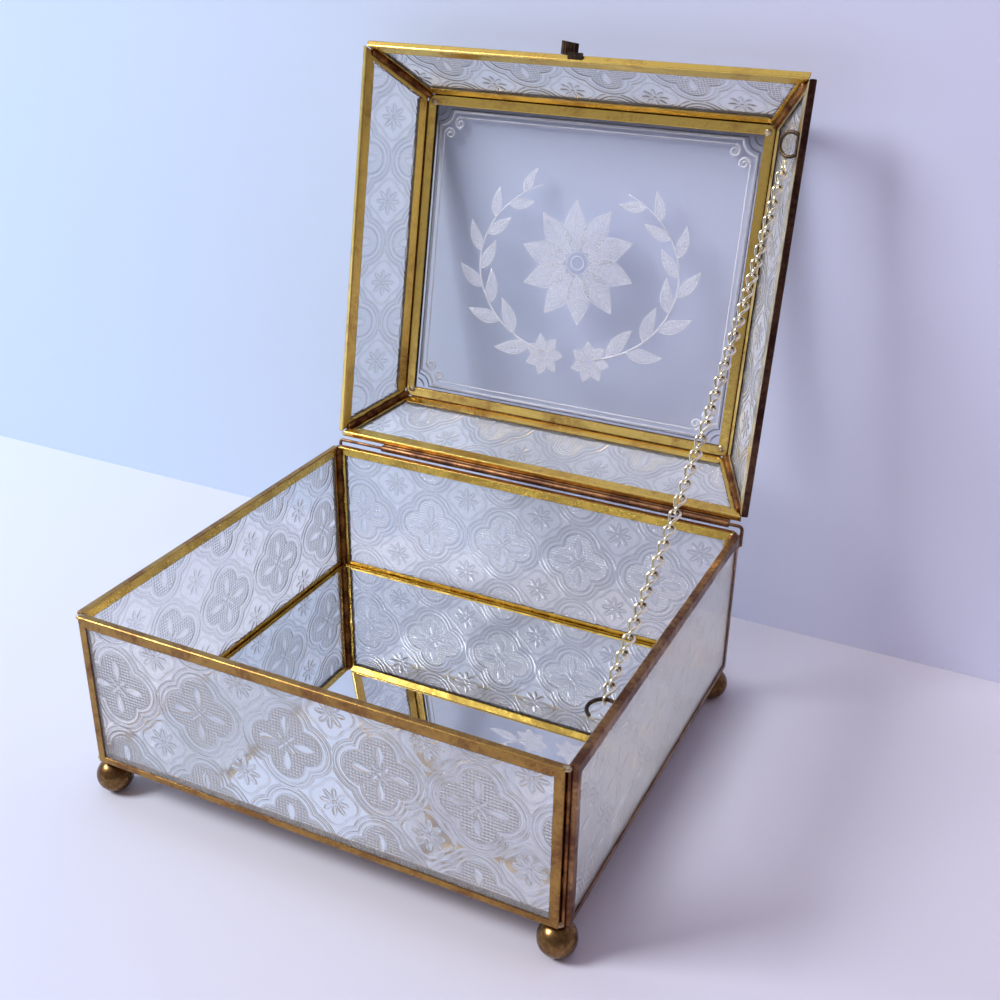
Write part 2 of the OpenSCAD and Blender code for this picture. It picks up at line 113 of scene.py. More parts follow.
@dataclass
class Surface:
    """Points and faces of one mesh in the making."""

    points: np.ndarray
    quads: np.ndarray
    triangles: np.ndarray | None = None
    flat_quads: np.ndarray | None = None

    @staticmethod
    def merged(parts: list["Surface"]) -> "Surface":
        """Joins several surfaces of quads into one.

        Args:
            parts: The surfaces.

        Returns:
            One surface, with the quads of each part renumbered.
        """
        points, quads, start = [], [], 0
        for part in parts:
            points.append(part.points)
            quads.append(part.quads + start)
            start += len(part.points)
        return Surface(np.concatenate(points), np.concatenate(quads))

    def to_object(self, name: str, material: bpy.types.Material) -> bpy.types.Object:
        """Makes the mesh and its object at the origin.

        Args:
            name: Name of the piece.
            material: Its only material.

        Returns:
            The new object, linked to the scene.
        """
        groups = [g for g in (self.quads, self.flat_quads, self.triangles) if g is not None]
        loops = np.concatenate([g.ravel() for g in groups]).astype(np.int32)
        totals = np.concatenate([np.full(len(g), g.shape[1]) for g in groups]).astype(np.int32)
        starts = np.concatenate([[0], np.cumsum(totals)[:-1]]).astype(np.int32)
        smooth = np.zeros(len(totals), bool)
        smooth[: len(self.quads)] = True
        mesh = bpy.data.meshes.new(name)
        mesh.vertices.add(len(self.points))
        mesh.vertices.foreach_set("co", self.points.astype(np.float32).ravel())
        mesh.loops.add(len(loops))
        mesh.loops.foreach_set("vertex_index", loops)
        mesh.polygons.add(len(totals))
        mesh.polygons.foreach_set("loop_start", starts)
        mesh.polygons.foreach_set("use_smooth", smooth)
        mesh.update(calc_edges=True)
        mesh.validate()
        mesh.materials.append(material)
        made = bpy.data.objects.new(name, mesh)
        bpy.context.scene.collection.objects.link(made)
        return made


def tube(centres: np.ndarray, sides_dir: np.ndarray, radius: np.ndarray | float, sides: int,
         closed: bool) -> Surface:
    """Sweeps a round section along a path. Open ends stay open, unless their radius is 0.

    Each point is the centre, plus the radius times cos a along the side direction and sin a along
    the one square to both it and the path, with a going round the section.

    Args:
        centres: Points along the path.
        sides_dir: One direction across the path at each point.
        radius: Section radius, one for all or one each.
        sides: Number of points round the section.
        closed: Whether the path joins itself.

    Returns:
        The swept surface.
    """
    along = heading_of(centres, closed)
    u = unit(sides_dir - along * np.sum(sides_dir * along, axis=1, keepdims=True))
    v = np.cross(along, u)
    a = np.linspace(0, 2 * np.pi, sides, endpoint=False)[None, :, None]
    r = np.broadcast_to(np.asarray(radius, float), (len(centres),))[:, None, None]
    points = centres[:, None] + r * (np.cos(a) * u[:, None] + np.sin(a) * v[:, None])
    return Surface(points.reshape(-1, 3), grid_quads(len(centres), sides, closed, True))


# ---------------------------------------------------------------- shader nodes


class Wiring:
    """Adds nodes to one shader tree and joins them."""

    def __init__(self, tree: bpy.types.NodeTree) -> None:
        """Starts from an empty tree."""
        self.tree = tree
        self.tree.nodes.clear()

    def add(self, kind: str, **settings: object) -> bpy.types.Node:
        """Adds one node.

        Args:
            kind: Blender's name of the node type, without ShaderNode in front.
            settings: Node properties to set.

        Returns:
            The new node.
        """
        prefix = "" if kind.startswith("NodeGroup") else "ShaderNode"
        node = self.tree.nodes.new(prefix + kind)
        for key, value in settings.items():
            setattr(node, key, value)
        return node

    def join(self, source: bpy.types.NodeSocket, target: bpy.types.NodeSocket) -> None:
        """Links an output to an input."""
        self.tree.links.new(source, target)

    def feed(self, node: bpy.types.Node, values: dict[str | int, object]) -> None:
        """Gives inputs of a node their sockets or values.

        Args:
            node: The node.
            values: A socket, number, vector or colour for each input, by its name or number.
        """
        for key, value in values.items():
            socket = node.inputs[key]
            if isinstance(value, bpy.types.NodeSocket):
                self.join(value, socket)
            elif socket.type == "RGBA" and len(value) == 3:
                socket.default_value = (*value, 1.0)
            else:
                socket.default_value = value

    def math(self, operation: str, a: object, b: object = None) -> bpy.types.NodeSocket:
        """A Math node.

        Args:
            operation: Math operation.
            a: First input, a socket or a number.
            b: Second input, where the operation has one.

        Returns:
            The result's socket.
        """
        node = self.add("Math", operation=operation)
        self.feed(node, {0: a} if b is None else {0: a, 1: b})
        return node.outputs[0]

    def times(self, a: object, b: object) -> bpy.types.NodeSocket:
        """The product of two sockets or numbers."""
        return self.math("MULTIPLY", a, b)

    def plus(self, a: object, b: object) -> bpy.types.NodeSocket:
        """The sum of two sockets or numbers."""
        return self.math("ADD", a, b)

    def dot(self, a: object, b: object) -> bpy.types.NodeSocket:
        """The dot product of two vectors.

        Args:
            a: First vector, a socket or a value.
            b: Second vector.

        Returns:
            The product's socket.
        """
        node = self.add("VectorMath", operation="DOT_PRODUCT")
        self.feed(node, {0: a, 1: b})
        return node.outputs["Value"]

    def noise(self, where: bpy.types.NodeSocket, scale: object, detail: float,
              rough: float = 0.55) -> bpy.types.NodeSocket:
        """Noise at a place.

        Args:
            where: The place.
            scale: Its scale, a socket or a number.
            detail: How many finer layers it has.
            rough: How strong the finer layers are.

        Returns:
            The noise's value.
        """
        node = self.add("TexNoise")
        self.feed(node, {"Vector": where, "Scale": scale, "Detail": detail, "Roughness": rough})
        return node.outputs["Fac"]

    def span(self, value: bpy.types.NodeSocket, low: float, high: float, to_low: float = 0.0,
             to_high: float = 1.0) -> bpy.types.NodeSocket:
        """Maps one range smoothly onto another, and holds it at the ends.

        Args:
            value: The value to map.
            low: Where its range starts.
            high: Where its range ends.
            to_low: What low becomes.
            to_high: What high becomes.

        Returns:
            The mapped value.
        """
        node = self.add("MapRange", interpolation_type="SMOOTHSTEP")
        self.feed(node, {"Value": value, "From Min": low, "From Max": high, "To Min": to_low,
                         "To Max": to_high})
        return node.outputs["Result"]

    def mix(self, mask: bpy.types.NodeSocket, a: object, b: object) -> bpy.types.NodeSocket:
        """Mixes two colours by a mask.

        Args:
            mask: 0 for the first, 1 for the second.
            a: First colour, a socket or a value.
            b: Second colour.

        Returns:
            The mixed colour.
        """
        node = self.add("Mix", data_type="RGBA")
        self.feed(node, {"Factor": mask, 6: a, 7: b})
        return node.outputs[2]

    def blend(self, mask: bpy.types.NodeSocket, first: bpy.types.Node,
              second: bpy.types.Node) -> bpy.types.Node:
        """Mixes two shaders by a mask.

        Args:
            mask: 0 for the first, 1 for the second.
            first: First shader node.
            second: Second shader node.

        Returns:
            The node that mixes them.
        """
        node = self.add("MixShader")
        self.feed(node, {0: mask, 1: first.outputs[0], 2: second.outputs[0]})
        return node

    def bump(self, height: bpy.types.NodeSocket, distance: float) -> bpy.types.Node:
        """A Bump node.

        Args:
            height: The height from 0 to 1.
            distance: What a height of 1 stands for, in metres.

        Returns:
            The node.
        """
        node = self.add("Bump")
        self.feed(node, {"Height": height, "Distance": distance, "Strength": 1.0})
        return node


def node_group(name: str, ins: list[tuple[str, str, object]], outs: list[tuple[str, str]]) -> tuple:
    """Starts a shader node group.

    Args:
        name: Name of the group.
        ins: Name, socket type and default of each input.
        outs: Name and socket type of each output.

    Returns:
        The group, its wiring, its input node and its output node.
    """
    group = bpy.data.node_groups.new(name, "ShaderNodeTree")
    wiring = Wiring(group)
    for label, kind, default in ins:
        socket = group.interface.new_socket(label, in_out="INPUT", socket_type=kind)
        if default is not None:
            socket.default_value = default
    for label, kind in outs:
        group.interface.new_socket(label, in_out="OUTPUT", socket_type=kind)
    return group, wiring, wiring.add("NodeGroupInput"), wiring.add("NodeGroupOutput")


def tarnish_group() -> bpy.types.NodeTree:
    """Clean metal with brown stains, dark specks and fine wipe marks.

    The stain mask is broad noise plus finer noise, pushed up or down by the amount. The specks are
    the peaks of fine noise. Both darken the colour and roughen the metal.

    Returns:
        The group, with Color, Roughness and Height outputs.
    """
    colour, number = "NodeSocketColor", "NodeSocketFloat"
    group, w, given, out = node_group(
        "tarnish",
        [("Vector", "NodeSocketVector", None), ("Clean", colour, None), ("Stain", colour, None),
         ("Amount", number, 0.5), ("Shine", number, 0.25), ("Patch", number, 90.0)],
        [("Color", colour), ("Roughness", number), ("Height", number)])
    where, patch = given.outputs["Vector"], given.outputs["Patch"]
    broad = w.times(w.noise(where, patch, 4.0), 0.62)
    fine = w.times(w.noise(where, w.times(patch, 6.5), 5.0, 0.65), 0.38)
    push = w.times(w.math("SUBTRACT", given.outputs["Amount"], 0.5), 0.5)
    stain = w.span(w.plus(w.plus(broad, fine), push), 0.40, 0.66)
    speck = w.times(w.span(w.noise(where, 1500.0, 2.0), 0.64, 0.74), 0.55)
    blotch = w.mix(stain, given.outputs["Clean"], given.outputs["Stain"])
    grain = w.noise(where, 2600.0, 3.0)
    rough = w.plus(given.outputs["Shine"], w.times(stain, 0.16))
    dents = w.times(w.noise(where, 240.0, 2.0), 0.6)
    w.feed(out, {"Color": w.mix(speck, blotch, SPECK_COLOUR),
                 "Roughness": w.plus(rough, w.times(grain, 0.10)),
                 "Height": w.plus(dents, w.times(grain, 0.12))})
    return group


def grime_and_shade_group() -> bpy.types.NodeTree:
    """Grime and painted shade in a metal's corners, and dark lines of both along its edges.

    A corner is a point much of whose surroundings within the reach are hidden. An edge is a point
    whose normal, once rounded by the radius, leaves the flat one. A broken noise thins the lines.

    Returns:
        The group, with Color and Normal outputs.
    """
    colour, number, vector = "NodeSocketColor", "NodeSocketFloat", "NodeSocketVector"
    group, w, given, out = node_group(
        "grime_and_shade_nodes", [("Vector", vector, None), ("Color", colour, None), ("Grime And Shade", number, 0.8),
                 ("Edge", number, 0.0), ("Radius", number, 0.0)],
        [("Color", colour), ("Normal", vector)])
    hollow = w.add("AmbientOcclusion", samples=4)
    hollow.inputs["Distance"].default_value = GRIME_AND_SHADE_REACH_MM * MM
    # Painted shade and grime: corners darken by how much of their surroundings is hidden.
    corner_grime_and_shade = w.times(w.span(hollow.outputs["AO"], 0.45, 0.85, 1.0, 0.0), given.outputs["Grime And Shade"])
    rounded, flat = w.add("Bevel", samples=6), w.add("NewGeometry")
    w.join(given.outputs["Radius"], rounded.inputs["Radius"])
    level = w.dot(rounded.outputs[0], flat.outputs["Normal"])
    # Dark lines of grime and painted shade along the edges.
    edge = w.times(w.span(level, 0.78, 0.996, 1.0, 0.0), given.outputs["Edge"])
    broken = w.span(w.noise(given.outputs["Vector"], 170.0, 3.0), 0.35, 0.6, 0.25, 1.0)
    grimed_and_shaded = w.mix(corner_grime_and_shade, given.outputs["Color"], GRIME_AND_SHADE_COLOUR)
    w.feed(out, {"Color": w.mix(w.times(edge, broken), grimed_and_shaded, GRIME_AND_SHADE_COLOUR),
                 "Normal": rounded.outputs[0]})
    return group


def stipple_group() -> bpy.types.NodeTree:
    """Rows of small round dots on a pane's own map, kept where a mask is 1.

    The height is the product of two raised cosines along the map's two directions.

    Returns:
        The group, with a Height output.
    """
    number = "NodeSocketFloat"
    group, w, given, out = node_group(
        "stipple", [("Vector", "NodeSocketVector", None), ("Mask", number, 0.0),
                    ("Per Unit", number, 100.0)],
        [("Height", number)])
    parts = w.add("SeparateXYZ")
    w.join(given.outputs["Vector"], parts.inputs[0])
    waves = []
    for axis in (0, 1):
        turn = w.times(w.times(parts.outputs[axis], given.outputs["Per Unit"]), 2 * math.pi)
        waves.append(w.plus(w.times(w.math("COSINE", turn), 0.5), 0.5))
    dots = w.math("POWER", w.times(waves[0], waves[1]), 0.8)
    w.join(w.times(dots, given.outputs["Mask"]), out.inputs["Height"])
    return group


@dataclass(frozen=True)
class Groups:
    """The shared node groups."""

    tarnish: bpy.types.NodeTree
    grime_and_shade_nodes: bpy.types.NodeTree
    stipple: bpy.types.NodeTree


def new_material(name: str, shader_kind: str = "BsdfPrincipled"
                 ) -> tuple[bpy.types.Material, Wiring, bpy.types.Node, bpy.types.Node]:
    """Starts a material with one shader joined to its output.

    Args:
        name: Name of the material.
        shader_kind: The shader's node type.

    Returns:
        The material, its wiring, the shader node and the output node.
    """
    material = bpy.data.materials.new(name)
    material.use_nodes = True
    w = Wiring(material.node_tree)
    shader, output = w.add(shader_kind), w.add("OutputMaterial")
    w.join(shader.outputs[0], output.inputs["Surface"])
    return material, w, shader, output


@dataclass(frozen=True)
class MetalFinish:
    """A worn metal: its clean colour, its stain and how much of it shows.

    Patch is the scale of the stains, relief the depth of its dents in mm. Faces that look the lit way
    take the lit colour.
    """

    name: str
    clean: tuple[float, float, float]
    stain: tuple[float, float, float]
    amount: float = 0.5
    shine: float = 0.22
    patch: float = 90.0
    relief: float = 0.06
    grime_and_shade: float = 0.0
    edge: float = 0.0
    lit: tuple[float, float, float] | None = None
    lit_way: tuple[float, float, float] = (0.0, 0.0, 1.0)

    def build(self, groups: Groups) -> bpy.types.Material:
        """Makes the material. Faces turned one way can take a lit colour.

        Args:
            groups: The shared node groups.

        Returns:
            The material.
        """
        material, w, shader, _ = new_material(self.name)
        place = w.add("TexCoord")
        where = place.outputs["Object"]
        worn = w.add("Group", node_tree=groups.tarnish)
        w.feed(worn, {"Vector": where, "Clean": self.clean, "Stain": self.stain,
                      "Amount": self.amount, "Shine": self.shine, "Patch": self.patch})
        bump = w.bump(worn.outputs["Height"], self.relief * MM)
        colour = worn.outputs["Color"]
        if self.lit:
            # Painted light: faces turned the lit way take the paler lit colour, in patches.
            light_patches = w.span(w.noise(where, 120.0, 3.0), 0.30, 0.62, 0.55, 1.0)
            facing = w.span(w.dot(place.outputs["Normal"], self.lit_way), 0.80, 0.95)
            colour = w.mix(w.times(facing, light_patches), colour, self.lit)
        # Grime and painted shade in the corners and along the edges.
        if self.grime_and_shade:
            grime_and_shade_node = w.add("Group", node_tree=groups.grime_and_shade_nodes)
            w.feed(grime_and_shade_node, {"Vector": where, "Color": colour, "Grime And Shade": self.grime_and_shade, "Edge": self.edge,
                         "Radius": EDGE_MM * MM if self.edge else 0.0})
            w.join(grime_and_shade_node.outputs["Normal"], bump.inputs["Normal"])
            colour = grime_and_shade_node.outputs["Color"]
        w.feed(shader, {"Base Color": colour, "Roughness": worn.outputs["Roughness"],
                        "Normal": bump.outputs[0], "Metallic": 1.0})
        return material


@dataclass(frozen=True)
class GlassFinish:
    """Clear glass, with an optional stippled field and slight waves.

    Milk is the share of light that it scatters, shade the share that its shadow lets through, and
    flank how much of the tint is left where the pattern is steep, as painted shade.
    """

    name: str
    tint: tuple[float, float, float]
    roughness: float = 0.02
    wave_mm: float = 0.02
    dots_mm: float = 0.0
    milk: float = 0.0
    shade: float = 0.93
    flank: float = 1.0
    dot_pitch_mm: float = 1.1

    def build(self, groups: Groups) -> bpy.types.Material:
        """Makes the material. Light reaches through it to what is behind, as a clear shadow.

        On a pressed face, painted shade darkens the steep flanks and the ground between the dots.

        Args:
            groups: The shared node groups.

        Returns:
            The material.
        """
        material, w, shader, output = new_material(self.name)
        where = w.add("TexCoord").outputs["Object"]
        film = w.noise(where, 35.0, 3.0)
        w.feed(shader, {"Base Color": self.tint, "Transmission Weight": 1.0 - self.milk, "IOR": 1.5,
                        "Roughness": w.span(film, 0.35, 0.75, self.roughness, self.roughness + 0.05)})
        height = w.times(w.noise(where, 160.0, 1.0), self.wave_mm)
        if self.dots_mm:
            flat = w.add("UVMap", uv_map="sheet")
            field = w.add("Attribute", attribute_name="stippled").outputs["Fac"]
            flank = w.add("Attribute", attribute_name="flank").outputs["Fac"]
            stipple = w.add("Group", node_tree=groups.stipple)
            w.feed(stipple, {"Vector": flat.outputs[0], "Mask": field,
                             "Per Unit": PressedPane.MAP_MM / self.dot_pitch_mm})
            height = w.plus(height, w.times(stipple.outputs[0], self.dots_mm))
            # Painted shade: the steep flanks and the ground between the dots take the darker tint.
            between = w.math("SUBTRACT", w.times(field, 0.30), w.times(stipple.outputs[0], 0.8))
            steep = w.math("MAXIMUM", flank, between)
            dark = tuple(self.flank * c for c in self.tint)
            w.join(w.mix(steep, self.tint, dark), shader.inputs["Base Color"])
        w.join(w.bump(height, MM).outputs[0], shader.inputs["Normal"])
        clear = w.add("BsdfTransparent")
        w.feed(clear, {0: (self.shade,) * 3})
        rays = w.add("LightPath")
        mixed = w.blend(rays.outputs["Is Shadow Ray"], shader, clear)
        w.join(mixed.outputs[0], output.inputs["Surface"])
        return material


@dataclass(frozen=True)
class MirrorFinish:
    """Silvered glass with a faint haze of wipe marks."""

    name: str
    tint: tuple[float, float, float]

    def build(self, groups: Groups) -> bpy.types.Material:
        """Makes the material.

        Args:
            groups: The shared node groups, not used here.

        Returns:
            The material.
        """
        material, w, shader, _ = new_material(self.name)
        haze = w.noise(w.add("TexCoord").outputs["Object"], 60.0, 5.0, 0.6)
        dull = tuple(0.93 * c for c in self.tint)
        w.feed(shader, {"Base Color": w.mix(w.span(haze, 0.45, 0.8), self.tint, dull),
                        "Roughness": w.span(haze, 0.5, 0.85, 0.012, 0.05), "Metallic": 1.0})
        return material


@dataclass(frozen=True)
class FrostFinish:
    """Etched glass: a pale, mat film that lets some light through."""

    name: str
    colour: tuple[float, float, float]
    cover: float

    def build(self, groups: Groups) -> bpy.types.Material:
        """Makes the material.

        Args:
            groups: The shared node groups, not used here.

        Returns:
            The material.
        """
        material, w, shader, _ = new_material(self.name)
        where = w.add("TexCoord").outputs["Object"]
        grain, cloud = w.noise(where, 900.0, 3.0), w.noise(where, 45.0, 3.0)
        dull = tuple(0.93 * c for c in self.colour)
        w.feed(shader, {"Base Color": w.mix(w.span(grain, 0.3, 0.7), dull, self.colour),
                        "Roughness": 0.6,
                        "Alpha": w.span(cloud, 0.3, 0.7, 0.75 * self.cover, self.cover)})
        w.join(w.bump(grain, 0.01 * MM).outputs[0], shader.inputs["Normal"])
        return material


class Finish(Enum):
    """The finishes of the casket."""

    PRESSED_GLASS = GlassFinish("pressed_glass", (0.99, 0.99, 0.99), roughness=0.05, wave_mm=0.03,
                                dots_mm=0.32, milk=0.12, shade=0.52, flank=0.42)
    # Painted sheen: the right pane's paler, hazier look stands for the light glancing along it.
    SHEEN_PAINTED_GLASS = GlassFinish("sheen_painted_glass", (0.86, 0.86, 0.84), roughness=0.13, wave_mm=0.03,
                             dots_mm=0.16, milk=0.22, shade=0.52, flank=0.62)
    # Painted shade: the grey tint darkens the lid's top pane.
    CLEAR_GLASS = GlassFinish("clear_glass", (0.84, 0.82, 0.83), roughness=0.0, wave_mm=0.004,
                              shade=0.76)
    SILVER = MirrorFinish("silvered_floor", (0.86, 0.86, 0.88))
    FROST_LINE = FrostFinish("etched_line", (0.90, 0.91, 1.0), cover=0.80)
    FROST_FIELD = FrostFinish("etched_field", (0.88, 0.89, 0.97), cover=0.26)
    # Painted shadow: a dark film beside the etched lines.
    PAINTED_SHADOW_FILM = FrostFinish("etch_painted_shadow", (0.16, 0.17, 0.26), cover=0.60)
    BASE_BRASS = MetalFinish("base_brass", (0.42, 0.24, 0.065), (0.20, 0.09, 0.035), shine=0.16,
                             grime_and_shade=0.85, edge=0.9)
    # Painted light: the back and left brass take a paler lit colour on faces turned into the box.
    BACK_BRASS = MetalFinish("back_brass", (0.50, 0.29, 0.08), (0.24, 0.11, 0.04), shine=0.14,
                             grime_and_shade=0.8, edge=0.9, lit=(0.98, 0.68, 0.14), lit_way=(0.0, -1.0, 0.0))
    LEFT_BRASS = MetalFinish("left_brass", (0.50, 0.29, 0.08), (0.24, 0.11, 0.04), shine=0.14,
                             grime_and_shade=0.8, edge=0.9, lit=(0.84, 0.57, 0.13), lit_way=(1.0, 0.0, 0.0))
    RIGHT_BRASS = MetalFinish("right_brass", (0.40, 0.22, 0.09), (0.12, 0.05, 0.03), amount=0.60,
                              shine=0.2, grime_and_shade=0.85, edge=0.8)
    LID_BRASS = MetalFinish("lid_brass", (0.88, 0.61, 0.16), (0.42, 0.22, 0.06), amount=0.38,
                            shine=0.12, patch=60.0, relief=0.07, grime_and_shade=0.95, edge=1.0)
    # Painted highlight: a pale colour on the faces turned like the rim's inner leg, over dark brass.
    RIM_BRASS = MetalFinish("rim_brass", (0.16, 0.08, 0.05), (0.045, 0.018, 0.016), amount=0.60,
                            shine=0.2, grime_and_shade=0.7, lit=(0.95, 0.86, 0.58),
                            lit_way=(-0.866, -0.490, 0.095))
    FLOOR_BRASS = MetalFinish("floor_brass", (0.92, 0.61, 0.10), (0.38, 0.20, 0.05), amount=0.38,
                              shine=0.12, patch=60.0, grime_and_shade=0.9, edge=0.8)
    FOOT_BRASS = MetalFinish("foot_brass", (0.28, 0.16, 0.06), (0.10, 0.045, 0.02), amount=0.54,
                             shine=0.16, patch=130.0, relief=0.12, grime_and_shade=0.6)
    DARK_BRASS = MetalFinish("dark_brass", (0.13, 0.085, 0.05), (0.03, 0.02, 0.016), amount=0.60,
                             shine=0.3, patch=200.0)
    HINGE_BRASS = MetalFinish("hinge_brass", (0.34, 0.17, 0.08), (0.10, 0.045, 0.03), amount=0.6,
                              shine=0.26, patch=120.0)
    CHAIN_BRASS = MetalFinish("chain_brass", (0.92, 0.84, 0.62), (0.36, 0.27, 0.14), amount=0.34,
                              shine=0.06, patch=160.0, grime_and_shade=0.8)
    SOLDER = MetalFinish("solder", (0.62, 0.50, 0.32), (0.24, 0.14, 0.07), amount=0.44, shine=0.2,
                         patch=260.0, relief=0.2)
    SEAM = MetalFinish("solder_seam", (0.34, 0.15, 0.05), (0.075, 0.022, 0.012), amount=0.58,
                       shine=0.24, patch=150.0, relief=0.3)


class Palette:
    """Builds each finish once and hands out its material."""

    def __init__(self) -> None:
        """Makes the shared node groups first."""
        self.groups = Groups(tarnish_group(), grime_and_shade_group(), stipple_group())
        self.made: dict[Finish, bpy.types.Material] = {}

    def __getitem__(self, finish: Finish) -> bpy.types.Material:
        """The material of a finish."""
        if finish not in self.made:
            self.made[finish] = finish.value.build(self.groups)
        return self.made[finish]

    def dress(self, finish: Finish, nodes: list[str]) -> None:
        """Gives CAD nodes one finish.

        Args:
            finish: The finish.
            nodes: Names of the nodes.
        """
        for name in nodes:
            mesh = frame["nodes"][name].data
            mesh.materials.clear()
            mesh.materials.append(self[finish])
            log.info("%s takes %s", name, finish.name)


# ---------------------------------------------------------------- panes


@dataclass
class PanePlane:
    """A flat pane of the part: its outer face starts at the middle of its longest, lowest edge."""

    start: np.ndarray
    along: np.ndarray
    up: np.ndarray
    out: np.ndarray
    low_width: float = 1.0
    high_width: float = 1.0
    height: float = 1.0
    thickness: float = 0.0

    @classmethod
    def level(cls, z: float) -> "PanePlane":
        """A level plane at a height, facing up."""
        return cls(np.array([0, 0, z]), *np.eye(3))

    @classmethod
    def of_node(cls, node: str, inside: np.ndarray) -> "PanePlane":
        """Reads a pane's plane and outline from its CAD mesh.

        Args:
            node: Name of the pane's node.
            inside: A point on the pane's inner side.

        Returns:
            The pane's plane.
        """
        mesh = frame["nodes"][node].data
        points = np.empty(len(mesh.vertices) * 3, np.float32)
        mesh.vertices.foreach_get("co", points)
        points = points.reshape(-1, 3).astype(float)
        normals = np.empty(len(mesh.polygons) * 3, np.float32)
        mesh.polygons.foreach_get("normal", normals)
        areas = np.array([p.area for p in mesh.polygons])
        out = unit(normals.reshape(-1, 3)[areas.argmax()].astype(float))
        if out @ (points.mean(0) - inside) < 0:
            out = -out
        reach = points @ out
        outer = np.unique(np.round(points[reach > reach.max() - 0.01 * MM], 7), axis=0)
        middle = outer.mean(0)
        side = unit(np.cross(out, outer[0] - middle))
        across = np.cross(side, out)
        turn = np.arctan2((outer - middle) @ side, (outer - middle) @ across)
        ring = outer[np.argsort(turn)]
        edges = np.roll(ring, -1, 0) - ring
        lengths = np.linalg.norm(edges, axis=1)
        centres = (np.roll(ring, -1, 0) + ring) / 2
        first = int(np.argmax(np.round(lengths, 4) * 1000 - centres[:, 2]))
        along = unit(edges[first])
        up = np.cross(out, along)
        height = float(np.max((ring - centres[first]) @ up))
        return cls(centres[first], along, up, out, float(lengths[first]),
                   float(lengths[(first + 2) % 4]), height, float(reach.max() - reach.min()))

    def at(self, u: np.ndarray, v: np.ndarray, lift: np.ndarray | float = 0.0) -> np.ndarray:
        """Points of the pane: start + u along + v up + lift out, for whole arrays."""
        u, v, lift = np.broadcast_arrays(u, v, lift)
        return (self.start + u[..., None] * self.along + v[..., None] * self.up
                + lift[..., None] * self.out)


def bump_of(x: np.ndarray, y: np.ndarray) -> np.ndarray:
    """Height of a half egg: the square root of 1 minus x squared minus y squared, or 0."""
    return np.sqrt(np.clip(1 - x * x - y * y, 0, 1))


def line_of(q: np.ndarray, at: float, width: float) -> np.ndarray:
    """A raised line where q is near a value: e to the minus square of (q - at) / width."""
    return np.exp(-(((q - at) / width) ** 2))


@dataclass(frozen=True)
class PressedPattern:
    """The traditional pressed pattern: four-lobed medallions on a square grid, daisies between.

    A pair of sizes is a half length and a half width. The lines are each their place outside the
    lobes, their width and their height.
    """

    cell_mm: float = 31.0
    lobe_at_mm: float = 6.4
    lobe_r_mm: float = 5.7
    lines: tuple = ((0.2, 0.29, 1.0), (1.75, 0.30, 0.9), (3.35, 0.34, 0.8))
    band_height: float = 0.35
    petal_at_mm: float = 5.9
    petal_mm: tuple[float, float] = (3.6, 1.7)
    leaf_at_mm: float = 2.6
    leaf_mm: tuple[float, float] = (1.9, 0.75)
    knot_mm: float = 1.0
    ray_at_mm: float = 3.0
    ray_mm: tuple[float, float] = (2.1, 0.78)
    eye_mm: float = 0.85
    scroll_at_mm: float = 7.4
    dots_inset_mm: float = 0.35

    def height(self, x_mm: np.ndarray, y_mm: np.ndarray) -> tuple[np.ndarray, np.ndarray]:
        """Height of the pattern from 0 to 1, and the mask of its dotted fields.

        q is the distance outside the nearest of a medallion's four lobes. Three raised lines follow
        it, with a low band between the first two. Each lobe holds an egg-shaped petal, the middle a
        knot and four small leaves, and each grid corner an eight-petalled daisy in a wavy ring.

        Args:
            x_mm: Places along the pane.
            y_mm: Places up the pane.

        Returns:
            Heights and mask, of the same shape as the places.
        """
        cell = self.cell_mm
        x = np.abs((x_mm + cell / 2) % cell - cell / 2)
        y = np.abs((y_mm + cell / 2) % cell - cell / 2)
        d, r = self.lobe_at_mm, self.lobe_r_mm
        q = np.minimum(np.hypot(x - d, y), np.hypot(x, y - d)) - r
        lines = sum(tall * line_of(q, at, width) for at, width, tall in self.lines)
        band = self.band_height * smooth_step(q, 0.2, 0.6) * (1 - smooth_step(q, 1.4, 1.8))
        far, near = np.maximum(x, y), np.minimum(x, y)
        long, wide = self.petal_mm
        egg = 0.55 + 0.45 * smooth_step(far, 2.0, 7.0)
        petal = bump_of((far - self.petal_at_mm) / long, near / (wide * egg))
        diagonal, across = (x + y) / math.sqrt(2), np.abs(x - y) / math.sqrt(2)
        leaf = bump_of((diagonal - self.leaf_at_mm) / self.leaf_mm[0], across / self.leaf_mm[1])
        knot = bump_of(x / self.knot_mm, y / self.knot_mm)
        dx, dy = cell / 2 - x, cell / 2 - y
        away, angle = np.hypot(dx, dy), np.arctan2(dy, dx)
        fold = (angle + math.pi / 8) % (math.pi / 4) - math.pi / 8
        star = bump_of((away * np.cos(fold) - self.ray_at_mm) / self.ray_mm[0],
                       away * np.sin(fold) / self.ray_mm[1])
        eye = bump_of(dx / self.eye_mm, dy / self.eye_mm)
        wavy = line_of(away, self.scroll_at_mm + 0.9 * np.cos(4 * angle), 0.30)
        scroll = 0.5 * wavy * smooth_step(q, 3.6, 4.4)
        field = (q < -self.dots_inset_mm) & (np.maximum.reduce([petal, leaf, knot]) < 0.02)
        raised = np.maximum.reduce([lines, band, 0.9 * petal, 0.8 * leaf, knot, 0.85 * star, eye,
                                    scroll])
        return np.clip(raised, 0, 1), field.astype(float)


class Body(Enum):
    """The two rigid bodies that carry the panes."""

    BASE = "base"
    LID = "lid"


